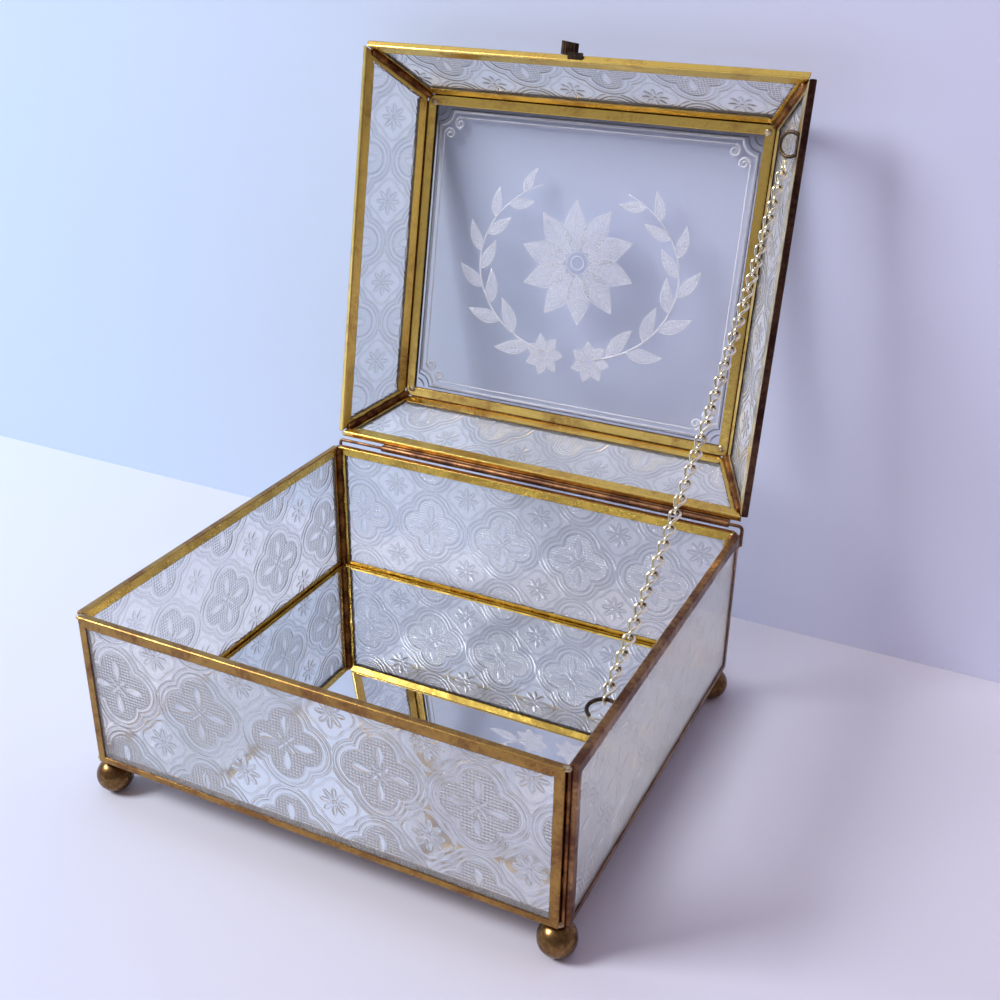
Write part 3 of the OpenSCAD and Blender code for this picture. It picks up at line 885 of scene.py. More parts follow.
@dataclass
class PressedPane:
    """One pane of pressed glass, patterned on its inner face."""

    node: str
    body: Body
    shift_u_mm: float
    shift_v_mm: float
    finish: Finish = Finish.PRESSED_GLASS
    depth_mm: float = 0.27
    pitch_mm: float = 0.3

    MAP_MM = 100.0
    STEEPEST = 0.5

    def build(self, plane: PanePlane, pattern: PressedPattern, palette: Palette) -> bpy.types.Object:
        """Builds the pane in place of its CAD node.

        The inner face is a grid over the outline, whose points are sunk into the glass by the depth
        times 1 minus the pattern's height. The outer face is a flat fan.

        Args:
            plane: Where the pane lies.
            pattern: The pattern.
            palette: The finishes.

        Returns:
            The new piece.
        """
        cols = int(round(plane.low_width / MM / self.pitch_mm)) + 1
        rows = int(round(plane.height / MM / self.pitch_mm)) + 1
        t, s = np.meshgrid(np.linspace(0, 1, rows), np.linspace(-1, 1, cols), indexing="ij")
        u = s * (plane.low_width + (plane.high_width - plane.low_width) * t) / 2
        v = t * plane.height
        height, field = pattern.height(u / MM - self.shift_u_mm, v / MM - self.shift_v_mm)
        sunk = self.depth_mm * MM * (1 - height)
        inner = plane.at(u, v, sunk - plane.thickness).reshape(-1, 3)
        rim = rim_of(np.arange(rows * cols).reshape(rows, cols))
        flat_u, flat_v = u.ravel()[rim], v.ravel()[rim]
        outer = plane.at(flat_u, flat_v)
        centre = plane.at(np.zeros(1), np.full(1, plane.height / 2))
        points = np.concatenate([inner, outer, centre])
        low = rows * cols + np.arange(len(rim))
        follow = np.roll(np.arange(len(rim)), -1)
        sides = np.stack([rim[follow], low[follow], low, rim], axis=1)
        fan = np.stack([low, low[follow], np.full(len(rim), len(points) - 1)], axis=1)
        made = Surface(points, grid_quads(rows, cols)[:, ::-1], fan, sides).to_object(
            self.node + "_pressed", palette[self.finish])
        # The flank mask says where the glass takes painted shade for its steepness.
        slope = np.hypot(*np.gradient(height)) * self.depth_mm / self.pitch_mm
        self.map_sheet(made, u, v, {"stippled": field, "flank": np.clip(slope / self.STEEPEST, 0, 1)})
        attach(made, self.body.value)
        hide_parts(self.node)
        log.info("%s: %d by %d points", made.name, rows, cols)
        return made

    def map_sheet(self, made: bpy.types.Object, u: np.ndarray, v: np.ndarray,
                  masks: dict[str, np.ndarray]) -> None:
        """Writes the pane's map and its masks, which are 0 on its flat side.

        Args:
            made: The pane's object.
            u: Places along the pane, on the grid.
            v: Places up the pane, on the grid.
            masks: Name and values on the grid of each mask.
        """
        mesh = made.data
        flat = np.zeros((len(mesh.vertices), 2), np.float32)
        flat[: u.size, 0] = u.ravel() / MM / self.MAP_MM
        flat[: u.size, 1] = v.ravel() / MM / self.MAP_MM
        corners = np.empty(len(mesh.loops), np.int32)
        mesh.loops.foreach_get("vertex_index", corners)
        mesh.uv_layers.new(name="sheet").data.foreach_set("uv", flat[corners].ravel())
        for name, values in masks.items():
            mask = np.zeros(len(mesh.vertices), np.float32)
            mask[: u.size] = values.ravel()
            mesh.attributes.new(name, "FLOAT", "POINT").data.foreach_set("value", mask)


# Node, body, and the shift of the pattern along and up the pane.
PRESSED_PANES = [
    PressedPane("front_glass", Body.BASE, 24.4, 31.2),
    PressedPane("back_glass", Body.BASE, 8.0, 27.0),
    PressedPane("left_glass", Body.BASE, 3.0, 22.0),
    # The right pane takes the painted sheen.
    PressedPane("right_glass", Body.BASE, -6.0, 28.0, Finish.SHEEN_PAINTED_GLASS),
    PressedPane("lid_front_glass", Body.LID, 10.0, 3.0),
    PressedPane("lid_back_glass", Body.LID, -8.0, 24.0),
    PressedPane("lid_left_glass", Body.LID, 2.0, 29.0),
    PressedPane("lid_right_glass", Body.LID, -4.0, 29.0),
]

# The four sides in order round the box.
ROUND = ["front", "right", "back", "left"]


@dataclass
class PressedPanes:
    """The eight pressed panes."""

    palette: Palette
    pattern: PressedPattern
    base_inside: np.ndarray
    lid_inside: np.ndarray

    def build(self) -> None:
        """Builds every pane in place of its node."""
        for pane in PRESSED_PANES:
            inside = self.base_inside if pane.body == Body.BASE else self.lid_inside
            pane.build(PanePlane.of_node(pane.node, inside), self.pattern, self.palette)


# ---------------------------------------------------------------- etched lid


@dataclass
class EtchedTop:
    """The etching on the lid's top pane: a scroll-cornered border and a leafy wreath.

    Paths run about the pane's middle, in mm. A line's pair of widths is its broadest and its finest,
    a bloom's pair of sizes the length and the width of its petals.
    """

    plane: PanePlane
    palette: Palette
    outer_inset_mm: float = 5.2
    inner_inset_mm: float = 7.2
    notch_mm: float = 5.4
    outer_line_mm: float = 0.95
    inner_line_mm: float = 0.55
    scroll_mm: float = 2.3
    scroll_step_mm: float = 6.2
    scroll_line_mm: tuple[float, float] = (1.15, 0.65)
    shade_line_mm: float = 0.6
    shade_inset_mm: float = 3.4
    shade_arc_mm: float = 3.6
    outline_mm: float = 0.38
    midrib_mm: float = 0.34
    vein_mm: float = 0.2
    film_mm: float = 0.02
    bloom_at_mm: tuple[float, float] = (0.0, 3.0)
    bloom_mm: tuple[float, float] = (23.0, 9.6)
    bud_at_mm: tuple[float, float] = (9.5, -33.0)
    bud_mm: tuple[float, float] = (8.0, 4.4)
    stem_mm: tuple[float, float] = (40.0, 33.0)
    stem_line_mm: tuple[float, float] = (0.9, 0.35)

    LOW, HIGH, FIELD = 0.2, 1.0, 0.8
    BLOOM_PETALS, BUD_PETALS = 10, 7

    def half_size(self, inset_mm: float) -> tuple[float, float]:
        """Half the pane's width and height in mm, less an inset."""
        return self.plane.low_width / MM / 2 - inset_mm, self.plane.height / MM / 2 - inset_mm

    def on_pane(self, path: np.ndarray, layer: float) -> np.ndarray:
        """Points of a path about the pane's middle, at a share of the film's thickness."""
        u, v = path[..., 0] * MM, (path[..., 1] + self.plane.height / MM / 2) * MM
        return self.plane.at(u, v, layer * self.film_mm * MM)

    def strip(self, path: np.ndarray, width_mm: np.ndarray | float, closed: bool = False) -> Surface:
        """A thin flat strip along a path on the pane.

        Each point of the path puts out four points: half the width to each side of it, low in the
        film and at its top.

        Args:
            path: Its places.
            width_mm: Width, one for all or one each.
            closed: Whether the path joins itself.

        Returns:
            The strip.
        """
        along = heading_of(path, closed)
        side = np.stack([-along[:, 1], along[:, 0]], axis=1)
        half = np.broadcast_to(np.asarray(width_mm, float), (len(path),))[:, None] / 2
        left, right = path - half * side, path + half * side
        points = np.stack([self.on_pane(left, self.LOW), self.on_pane(right, self.LOW),
                           self.on_pane(right, self.HIGH), self.on_pane(left, self.HIGH)], axis=1)
        quads = grid_quads(len(path), 4, closed, True)
        if not closed:
            last = 4 * (len(path) - 1)
            quads = np.concatenate([quads, [[3, 2, 1, 0], [last, last + 1, last + 2, last + 3]]])
        return Surface(points.reshape(-1, 3), quads[:, ::-1])

    def notched(self, inset_mm: float, notch_mm: float) -> np.ndarray:
        """A rectangle whose corners are cut in by quarter circles.

        Args:
            inset_mm: Distance in from the pane's edges.
            notch_mm: Radius of the corners' arcs.

        Returns:
            Closed path.
        """
        half_u, half_v = self.half_size(inset_mm)
        a = np.linspace(0, math.pi / 2, 14)
        parts = []
        for su, sv, turn in ((1, -1, 1.0), (1, 1, 1.5), (-1, 1, 0.0), (-1, -1, 0.5)):
            arc = turn * math.pi - a
            parts.append(np.stack([su * half_u + notch_mm * np.cos(arc),
                                   sv * half_v + notch_mm * np.sin(arc)], axis=1))
        return np.concatenate(parts)

    def scroll(self, centre: tuple[float, float], start: float, hand: int) -> Surface:
        """A scroll: its radius shrinks to a fifth over one and a half turns, and its line thins.

        Args:
            centre: The scroll's middle.
            start: Angle where it begins.
            hand: 1 to turn anticlockwise, -1 clockwise.

        Returns:
            Its strip.
        """
        t = np.linspace(0, 1, 44)
        angle = start + hand * 3 * math.pi * t
        r = self.scroll_mm * (1 - 0.8 * t ** 0.8)
        path = np.stack([centre[0] + r * np.cos(angle), centre[1] + r * np.sin(angle)], axis=1)
        return self.strip(path, np.linspace(*self.scroll_line_mm, 44))

    def border(self) -> list[Surface]:
        """The double border, and two scrolls inside each corner that its inner lines run into.

        Returns:
            Its strips.
        """
        made = [self.strip(self.notched(self.outer_inset_mm, self.notch_mm), self.outer_line_mm, True)]
        half_u, half_v = self.half_size(self.inner_inset_mm)
        step, r = self.scroll_step_mm, self.scroll_mm
        for sign in (-1, 1):
            upright = np.linspace((sign * half_u, step - half_v), (sign * half_u, half_v - step), 60)
            level = np.linspace((step - half_u, sign * half_v), (half_u - step, sign * half_v), 60)
            made += [self.strip(line, self.inner_line_mm) for line in (upright, level)]
            for other in (-1, 1):
                made.append(self.scroll((sign * (half_u - r), other * (half_v - step)),
                                        0.0 if sign > 0 else math.pi, sign * other))
                made.append(self.scroll((other * (half_u - step), sign * (half_v - r)),
                                        math.pi / 2 * sign, -sign * other))
        return made

    def shades(self) -> list[Surface]:
        """Painted shadow of the cut: a line outside the border, and arcs at the very corners.

        Returns:
            Their strips.
        """
        line, r = self.shade_line_mm, self.shade_arc_mm
        made = [self.strip(self.notched(self.outer_inset_mm - 0.8, self.notch_mm - 0.8), line, True)]
        half_u, half_v = self.half_size(self.shade_inset_mm)
        a = np.linspace(0.12, math.pi / 2 - 0.12, 16)
        for su in (-1, 1):
            for sv in (-1, 1):
                arc = np.stack([su * (half_u - r * np.cos(a)), sv * (half_v - r * np.sin(a))], axis=1)
                made.append(self.strip(arc, line * np.sin(2 * a) + 0.15))
        return made

    def leaf(self, root: np.ndarray, angle: float, length: float, width: float,
             bend: float) -> tuple[Surface, list[Surface]]:
        """A pointed leaf: its midrib curves by the bend, its half width is a skewed sine.

        Args:
            root: Where the leaf starts, about the pane's middle.
            angle: Direction it starts in.
            length: Length of its midrib.
            width: Its full width.
            bend: How far its direction turns from root to tip.

        Returns:
            The leaf's field, and the strips of its outline, midrib and veins.
        """
        points, lanes = 25, 5
        t = np.linspace(0, 1, points)
        heading = angle + bend * t
        steps = length / (points - 1) * np.stack([np.cos(heading), np.sin(heading)], axis=1)[:-1]
        rib = root + np.concatenate([np.zeros((1, 2)), np.cumsum(steps, axis=0)])
        side = np.stack([-np.sin(heading), np.cos(heading)], axis=1)
        half = width / 2 * np.sin(math.pi * t ** 0.75)[:, None]
        left, right = rib + half * side, rib - half * side
        ring = np.concatenate([left, right[-2:0:-1]])
        strips = [self.strip(ring, self.outline_mm, True), self.strip(rib, self.midrib_mm)]
        for k in range(4, 21, 3):
            for edge in (left, right):
                vein = rib[k] + (edge[min(k + 3, points - 1)] - rib[k]) * np.linspace(0.05, 0.9, 6)[:, None]
                strips.append(self.strip(vein, self.vein_mm))
        lane = np.linspace(-1, 1, lanes)[None, :, None]
        flat = (rib[:, None] + lane * (0.93 * half * side)[:, None]).reshape(-1, 2)
        faces, count = grid_quads(points, lanes), points * lanes
        rim = rim_of(np.arange(count).reshape(points, lanes))
        follow = np.roll(rim, -1)
        sides = np.stack([rim, follow, follow + count, rim + count], axis=1)
        both = np.concatenate([self.on_pane(flat, self.FIELD), self.on_pane(flat, self.LOW)])
        return Surface(both, np.concatenate([faces[:, ::-1], faces + count, sides])), strips

    def bloom(self, centre: np.ndarray, petals: int, radius: float, width: float,
              turn: float) -> tuple[list[Surface], list[Surface]]:
        """A flower of equal pointed petals about a ringed eye.

        Args:
            centre: Its middle.
            petals: Number of petals.
            radius: Length of a petal.
            width: Width of a petal.
            turn: Angle of the first petal.

        Returns:
            Fields and strips.
        """
        fields, strips = [], []
        for k in range(petals):
            angle = turn + 2 * math.pi * k / petals
            root = centre + 0.2 * radius * np.array([math.cos(angle), math.sin(angle)])
            field, lines = self.leaf(root, angle - 0.12, 0.8 * radius, width, 0.24)
            fields.append(field)
            strips.extend(lines)
        a = np.linspace(0, 2 * math.pi, 40, endpoint=False)
        for r in (0.19, 0.11):
            ring = centre + r * radius * np.stack([np.cos(a), np.sin(a)], axis=1)
            strips.append(self.strip(ring, 0.4, True))
        return fields, strips

    def wreath(self) -> tuple[list[Surface], list[Surface]]:
        """Two leafy sprigs that rise each side of a large bloom, with small blooms at their feet.

        Each sprig's stem is an arc of an ellipse. Leaves leave it by turns to each side.

        Returns:
            Fields and strips.
        """
        fields, strips = self.bloom(np.array(self.bloom_at_mm), self.BLOOM_PETALS, *self.bloom_mm, 0.2)
        for side in (-1, 1):
            t = np.linspace(-0.42, 0.36, 60) * math.pi
            stem = np.stack([side * self.stem_mm[0] * np.cos(t), self.stem_mm[1] * np.sin(t)], axis=1)
            strips.append(self.strip(stem, np.linspace(*self.stem_line_mm, 60)))
            for k in range(4, 58, 5):
                heading = math.atan2(stem[k + 1, 1] - stem[k, 1], stem[k + 1, 0] - stem[k, 0])
                turn = 0.75 if (k // 5) % 2 else -0.75
                size = 15.0 - 5.0 * k / 58
                field, lines = self.leaf(stem[k], heading + turn, size, 0.36 * size, -0.5 * turn)
                fields.append(field)
                strips.extend(lines)
            foot = np.array([side * self.bud_at_mm[0], self.bud_at_mm[1]])
            small, lines = self.bloom(foot, self.BUD_PETALS, *self.bud_mm, 0.4 * side)
            fields.extend(small)
            strips.extend(lines)
        return fields, strips

    def build(self) -> None:
        """Builds the etching: a piece of lines, a piece of fields and a piece of painted shadow."""
        fields, strips = self.wreath()
        for name, parts, finish in (("lid_etched_lines", self.border() + strips, Finish.FROST_LINE),
                                    ("lid_etched_fields", fields, Finish.FROST_FIELD),
                                    ("lid_etch_painted_shadows", self.shades(), Finish.PAINTED_SHADOW_FILM)):
            made = Surface.merged(parts).to_object(name, self.palette[finish])
            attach(made, Body.LID.value)
            log.info("%s: %d parts", name, len(parts))


# ---------------------------------------------------------------- chain


@dataclass
class StayChain:
    """The stay chain: smooth wire links in place of the faceted ones, four for each body."""

    palette: Palette
    links: int = 36
    links_each: int = 4
    wire_mm: float = 0.45
    half_mm: float = 1.75
    play_mm: float = 0.25
    slope: float = 0.19
    ring_wire_mm: float = 0.6
    lid_hook: tuple[float, float] = (0.075533, 0.189328)
    arc_points: int = 12
    side_points: int = 7
    sides: int = 12

    def hooks(self) -> tuple[np.ndarray, np.ndarray, float]:
        """Lays the links out from the base ring's hook to the lid ring's.

        Each link leans against the chord by the arc tangent of the slope times (2 i + 1) / links - 1,
        so the chain hangs in a shallow parabola.

        Returns:
            Start point and angle of every link, and the pitch.
        """
        start = np.array(next(j for j in frame["joints"] if j["name"] == "chain_swing_1")["pos_m"])
        chord = np.array(self.lid_hook) - start[1:]
        lean = np.arctan(self.slope * ((2 * np.arange(self.links) + 1) / self.links - 1))
        pitch = np.linalg.norm(chord) / np.cos(lean).sum()
        angle = math.atan2(chord[1], chord[0]) + lean
        steps = pitch * np.stack([np.cos(angle), np.sin(angle)], axis=1)
        places = start[1:] + np.concatenate([np.zeros((1, 2)), np.cumsum(steps, axis=0)[:-1]])
        return np.column_stack([np.full(self.links, start[0]), places]), angle, pitch

    def link(self, index: int, start: np.ndarray, angle: float, pitch: float) -> Surface:
        """One link: two half circles joined by straight wire, turned a quarter over its length.

        Args:
            index: Number of the link.
            start: Its start point.
            angle: Its angle above level.
            pitch: Distance between links.

        Returns:
            The link.
        """
        last = index == self.links - 1
        hook = ((self.ring_wire_mm if index == 0 else self.wire_mm) + self.wire_mm + self.play_mm) * MM
        stop = (self.ring_wire_mm + self.wire_mm + self.play_mm) * MM if last else 0.0
        length, half = pitch + hook - stop, self.half_mm * MM
        h = length / 2 - half
        a = np.linspace(-math.pi / 2, math.pi / 2, self.arc_points)
        back = np.linspace(h, -h, self.side_points)[1:-1]
        along = np.concatenate([h + half * np.cos(a), back, -h - half * np.cos(a), -back])
        across = np.concatenate([half * np.sin(a), np.full(len(back), half),
                                 -half * np.sin(a), np.full(len(back), -half)])
        q = along / length + 0.5
        turn = (0.0 if last else math.pi / 2) * q * q * (3 - 2 * q)
        centres = np.stack([across * np.sin(turn), along, across * np.cos(turn)], axis=1)
        sides_dir = np.stack([np.cos(turn), np.zeros_like(turn), -np.sin(turn)], axis=1)
        swept = tube(centres, sides_dir, self.wire_mm * MM, self.sides, True)
        turned = np.array([[1, 0, 0], [0, math.cos(angle), -math.sin(angle)],
                           [0, math.sin(angle), math.cos(angle)]])
        local = swept.points + np.array([0, length / 2 - hook, 0])
        return Surface(local @ turned.T + start, swept.quads)

    def build(self) -> None:
        """Builds each body's links as one piece."""
        starts, angles, pitch = self.hooks()
        for k in range(self.links // self.links_each):
            node = f"chain_links_{k + 1}"
            run = range(self.links_each * k, self.links_each * (k + 1))
            row = [self.link(i, starts[i], angles[i], pitch) for i in run]
            made = Surface.merged(row).to_object(node + "_wire", self.palette[Finish.CHAIN_BRASS])
            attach(made, node)
            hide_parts(node)
        log.info("stay chain: %d links, pitch %.2f mm", self.links, pitch / MM)


# ---------------------------------------------------------------- feet and solder


@dataclass
class BallFeet:
    """The four ball feet, each turned with its neck of solder."""

    palette: Palette
    ball_mm: float = 5.9
    flat_mm: float = 0.2
    neck_mm: float = 2.4
    waist_mm: float = 2.1
    lump_mm: float = 0.10
    dent_mm: float = 0.05
    sides: int = 64

    def profile(self, top_mm: float) -> np.ndarray:
        """Radius and height of the turned foot, from the middle of its flat up to its top.

        The ball is a circle cut by the table. Above it the radius eases into the neck, and flares
        again where the solder meets the box.

        Args:
            top_mm: Height of the neck's top.

        Returns:
            Rows of radius and height in mm.
        """
        r = self.ball_mm
        low = math.acos(1 - self.flat_mm / r)
        a = np.linspace(low, math.pi - math.asin(self.neck_mm / r), 40)
        ball = np.stack([r * np.sin(a), r - self.flat_mm - r * np.cos(a)], axis=1)
        t = np.linspace(0, 1, 9)[1:]
        z = ball[-1, 1] + (top_mm - ball[-1, 1]) * t
        neck = self.neck_mm - (self.neck_mm - self.waist_mm) * np.sin(math.pi * t) + 0.5 * t ** 3
        return np.concatenate([[[0.0, 0.0]], ball, np.stack([neck, z], axis=1), [[0.0, top_mm]]])

    def build(self) -> None:
        """Builds each foot where its node stands, with slight dents and a lumpy neck."""
        for name in ("foot_front_left", "foot_front_right", "foot_back_left", "foot_back_right"):
            low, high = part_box(name)
            profile = self.profile(high.z / MM)
            seed = sum(map(ord, name))
            turn = np.linspace(0, 2 * math.pi, self.sides, endpoint=False)
            r, z = profile[:, :1], profile[:, 1:]
            lump = self.lump_mm * np.sin(3 * turn + seed) * smooth_step(z, 9.5, 11.5)
            dent = self.dent_mm * np.sin(2 * turn + seed) * np.sin(z * 0.9) * (r > 0)
            radius = np.clip(r - np.abs(dent) + lump * (r > 0), 0, self.ball_mm)
            points = np.stack([(low.x + high.x) / 2 + radius * np.cos(turn) * MM,
                               (low.y + high.y) / 2 + radius * np.sin(turn) * MM,
                               np.broadcast_to(z * MM, radius.shape)], axis=-1)
            surface = Surface(points.reshape(-1, 3), grid_quads(len(profile), self.sides, False, True))
            made = surface.to_object(name + "_turned", self.palette[Finish.FOOT_BRASS])
            weld(made)
            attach(made, Body.BASE.value)
            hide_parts(name)
            log.info("%s: %d rows", made.name, len(profile))


def weld(made: bpy.types.Object) -> None:
    """Merges a piece's doubled points, such as at its poles, and turns its faces outwards.

    Args:
        made: The piece.
    """
    shape = bmesh.new()
    shape.from_mesh(made.data)
    bmesh.ops.remove_doubles(shape, verts=shape.verts, dist=1e-7)
    bmesh.ops.recalc_face_normals(shape, faces=shape.faces)
    shape.to_mesh(made.data)
    shape.free()


@dataclass
class SolderBeads:
    """Small frozen drops of solder where the channels meet.

    Each kind has its place, measured in from the corner along X and Y and up along Z, and its half
    lengths. The lid's are measured in from the pane's corner and out from its face.
    """

    palette: Palette
    rows: int = 15
    sides: int = 24
    brim_at_mm: tuple[float, float, float] = (0.1, 1.5, -0.7)
    brim_mm: tuple[float, float, float] = (1.5, 1.3, 0.75)
    foot_at_mm: tuple[float, float, float] = (0.2, 1.6, 0.9)
    foot_mm: tuple[float, float, float] = (1.3, 1.3, 1.0)
    slope_at_mm: tuple[float, float] = (0.9, -0.7)
    slope_mm: tuple[float, float, float] = (1.3, 1.3, 1.2)
    crown_at_mm: tuple[float, float] = (0.8, -1.1)
    crown_mm: tuple[float, float, float] = (1.3, 0.9, 1.3)
    under_at_mm: tuple[float, float] = (1.6, -0.2)
    under_mm: tuple[float, float, float] = (1.5, 0.7, 1.3)

    def bead(self, centre: np.ndarray, size: np.ndarray, seed: int) -> Surface:
        """A flattened drop: an ellipsoid whose radius swells by three slow waves.

        Args:
            centre: Its middle.
            size: Half lengths along X, Y and Z in mm.
            seed: Sets the waves.

        Returns:
            The drop.
        """
        a, b = np.meshgrid(np.linspace(0, math.pi, self.rows),
                           np.linspace(0, 2 * math.pi, self.sides, endpoint=False), indexing="ij")
        swell = 1 + 0.10 * np.sin(2 * b + seed) * np.sin(a) + 0.08 * np.sin(3 * a + 1.7 * seed) * np.sin(a)
        shape = np.stack([np.sin(a) * np.cos(b), np.sin(a) * np.sin(b), np.cos(a)], axis=-1)
        points = centre + swell[..., None] * shape * size * MM
        return Surface(points.reshape(-1, 3), grid_quads(self.rows, self.sides, False, True))

    def place(self, name: str, body: Body, spots: list[tuple[np.ndarray, tuple]]) -> None:
        """Makes one piece of several drops.

        Args:
            name: Name of the piece.
            body: The body it rides on.
            spots: Middle and half lengths of each drop.
        """
        drops = [self.bead(at, np.array(size), 3 * k + 1) for k, (at, size) in enumerate(spots)]
        made = Surface.merged(drops).to_object(name, self.palette[Finish.SOLDER])
        weld(made)
        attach(made, body.value)
        log.info("%s: %d drops", name, len(spots))

    def build(self, lid: list[PanePlane]) -> None:
        """Puts drops on the base's corners and on the lid's.

        Args:
            lid: The planes of the lid's front, back and top panes.
        """
        low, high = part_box("front_frame")
        _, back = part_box("back_frame")
        corners = [(x, y, sx, sy) for x, sx in ((low.x, 1), (high.x, -1))
                   for y, sy in ((low.y, 1), (back.y, -1))]
        spots = []
        for z, at, size in ((high.z, self.brim_at_mm, self.brim_mm),
                            (low.z, self.foot_at_mm, self.foot_mm)):
            spots += [(np.array([x + sx * at[0] * MM, y + sy * at[1] * MM, z + at[2] * MM]), size)
                      for x, y, sx, sy in corners]
        self.place("base_solder_drops", Body.BASE, spots)
        *slopes, crown = lid
        spots = []
        inset, lift = (size * MM for size in self.slope_at_mm)
        for plane in slopes:
            for sign in (-1, 1):
                spots.append((plane.at(sign * (plane.low_width / 2 - inset), inset, lift), self.slope_mm))
        inset, lift = (size * MM for size in self.crown_at_mm)
        further, under = (size * MM for size in self.under_at_mm)
        for sign in (-1, 1):
            for v in (inset, crown.height - inset):
                half = sign * (crown.low_width / 2 - inset)
                inward = math.copysign(further, crown.height / 2 - v)
                spots.append((crown.at(half, v, lift), self.crown_mm))
                spots.append((crown.at(half - sign * further, v + inward, under - crown.thickness),
                              self.under_mm))
        self.place("lid_solder_drops", Body.LID, spots)


@dataclass
class SolderSeams:
    """Dark seams of solder where two walls meet, on the inside of the corner."""

    palette: Palette
    channel_mm: float = 2.6
    radius_mm: float = 1.1
    sides: int = 16

    def corner(self, planes: list[PanePlane], sunk_mm: list[float]) -> np.ndarray:
        """The point where three panes' planes meet, each sunk below its outer face.

        Args:
            planes: The three planes.
            sunk_mm: How far each is sunk.

        Returns:
            The point.
        """
        normals = np.array([plane.out for plane in planes])
        reach = np.array([plane.out @ plane.start for plane in planes]) - np.array(sunk_mm) * MM
        return np.linalg.solve(normals, reach)

    def seam(self, ends: tuple[np.ndarray, np.ndarray], seed: int) -> Surface:
        """A rough bead between two points: its radius swells by two waves, and it ends in points.

        Args:
            ends: The two points.
            seed: Sets the waves.

        Returns:
            The bead.
        """
        t = np.linspace(0, 1, 61)
        path = ends[0] + t[:, None] * (ends[1] - ends[0])
        swell = 1 + 0.12 * np.sin(23 * t + seed) + 0.07 * np.sin(61 * t + 2.3 * seed)
        close = np.sqrt(np.clip(1 - (2 * t - 1) ** 40, 0, 1))
        side = np.broadcast_to(unit(np.cross(ends[1] - ends[0], (0.31, 0.87, 0.38))), path.shape)
        return tube(path, side, self.radius_mm * MM * swell * close, self.sides, False)

    def build(self, name: str, body: Body, sides: list[PanePlane], low: PanePlane, high: PanePlane,
              reach_mm: tuple[float, float]) -> None:
        """Makes the seams of four walls as one piece.

        Args:
            name: Name of the piece.
            body: The body it rides on.
            sides: The walls' planes, in order round the box.
            low: The plane where the seams start.
            high: The plane where they end.
            reach_mm: How far below those two planes the seams start and end.
        """
        made = []
        for k, side in enumerate(sides):
            pair, sunk = [side, sides[(k + 1) % 4]], [self.channel_mm] * 2
            start, stop = (self.corner(pair + [end], sunk + [reach])
                           for end, reach in zip((low, high), reach_mm))
            made.append(self.seam((start, stop), 5 * k + 1))
        piece = Surface.merged(made).to_object(name, self.palette[Finish.SEAM])
        weld(piece)
        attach(piece, body.value)
        log.info("%s: %d seams", name, len(made))


# ---------------------------------------------------------------- studio


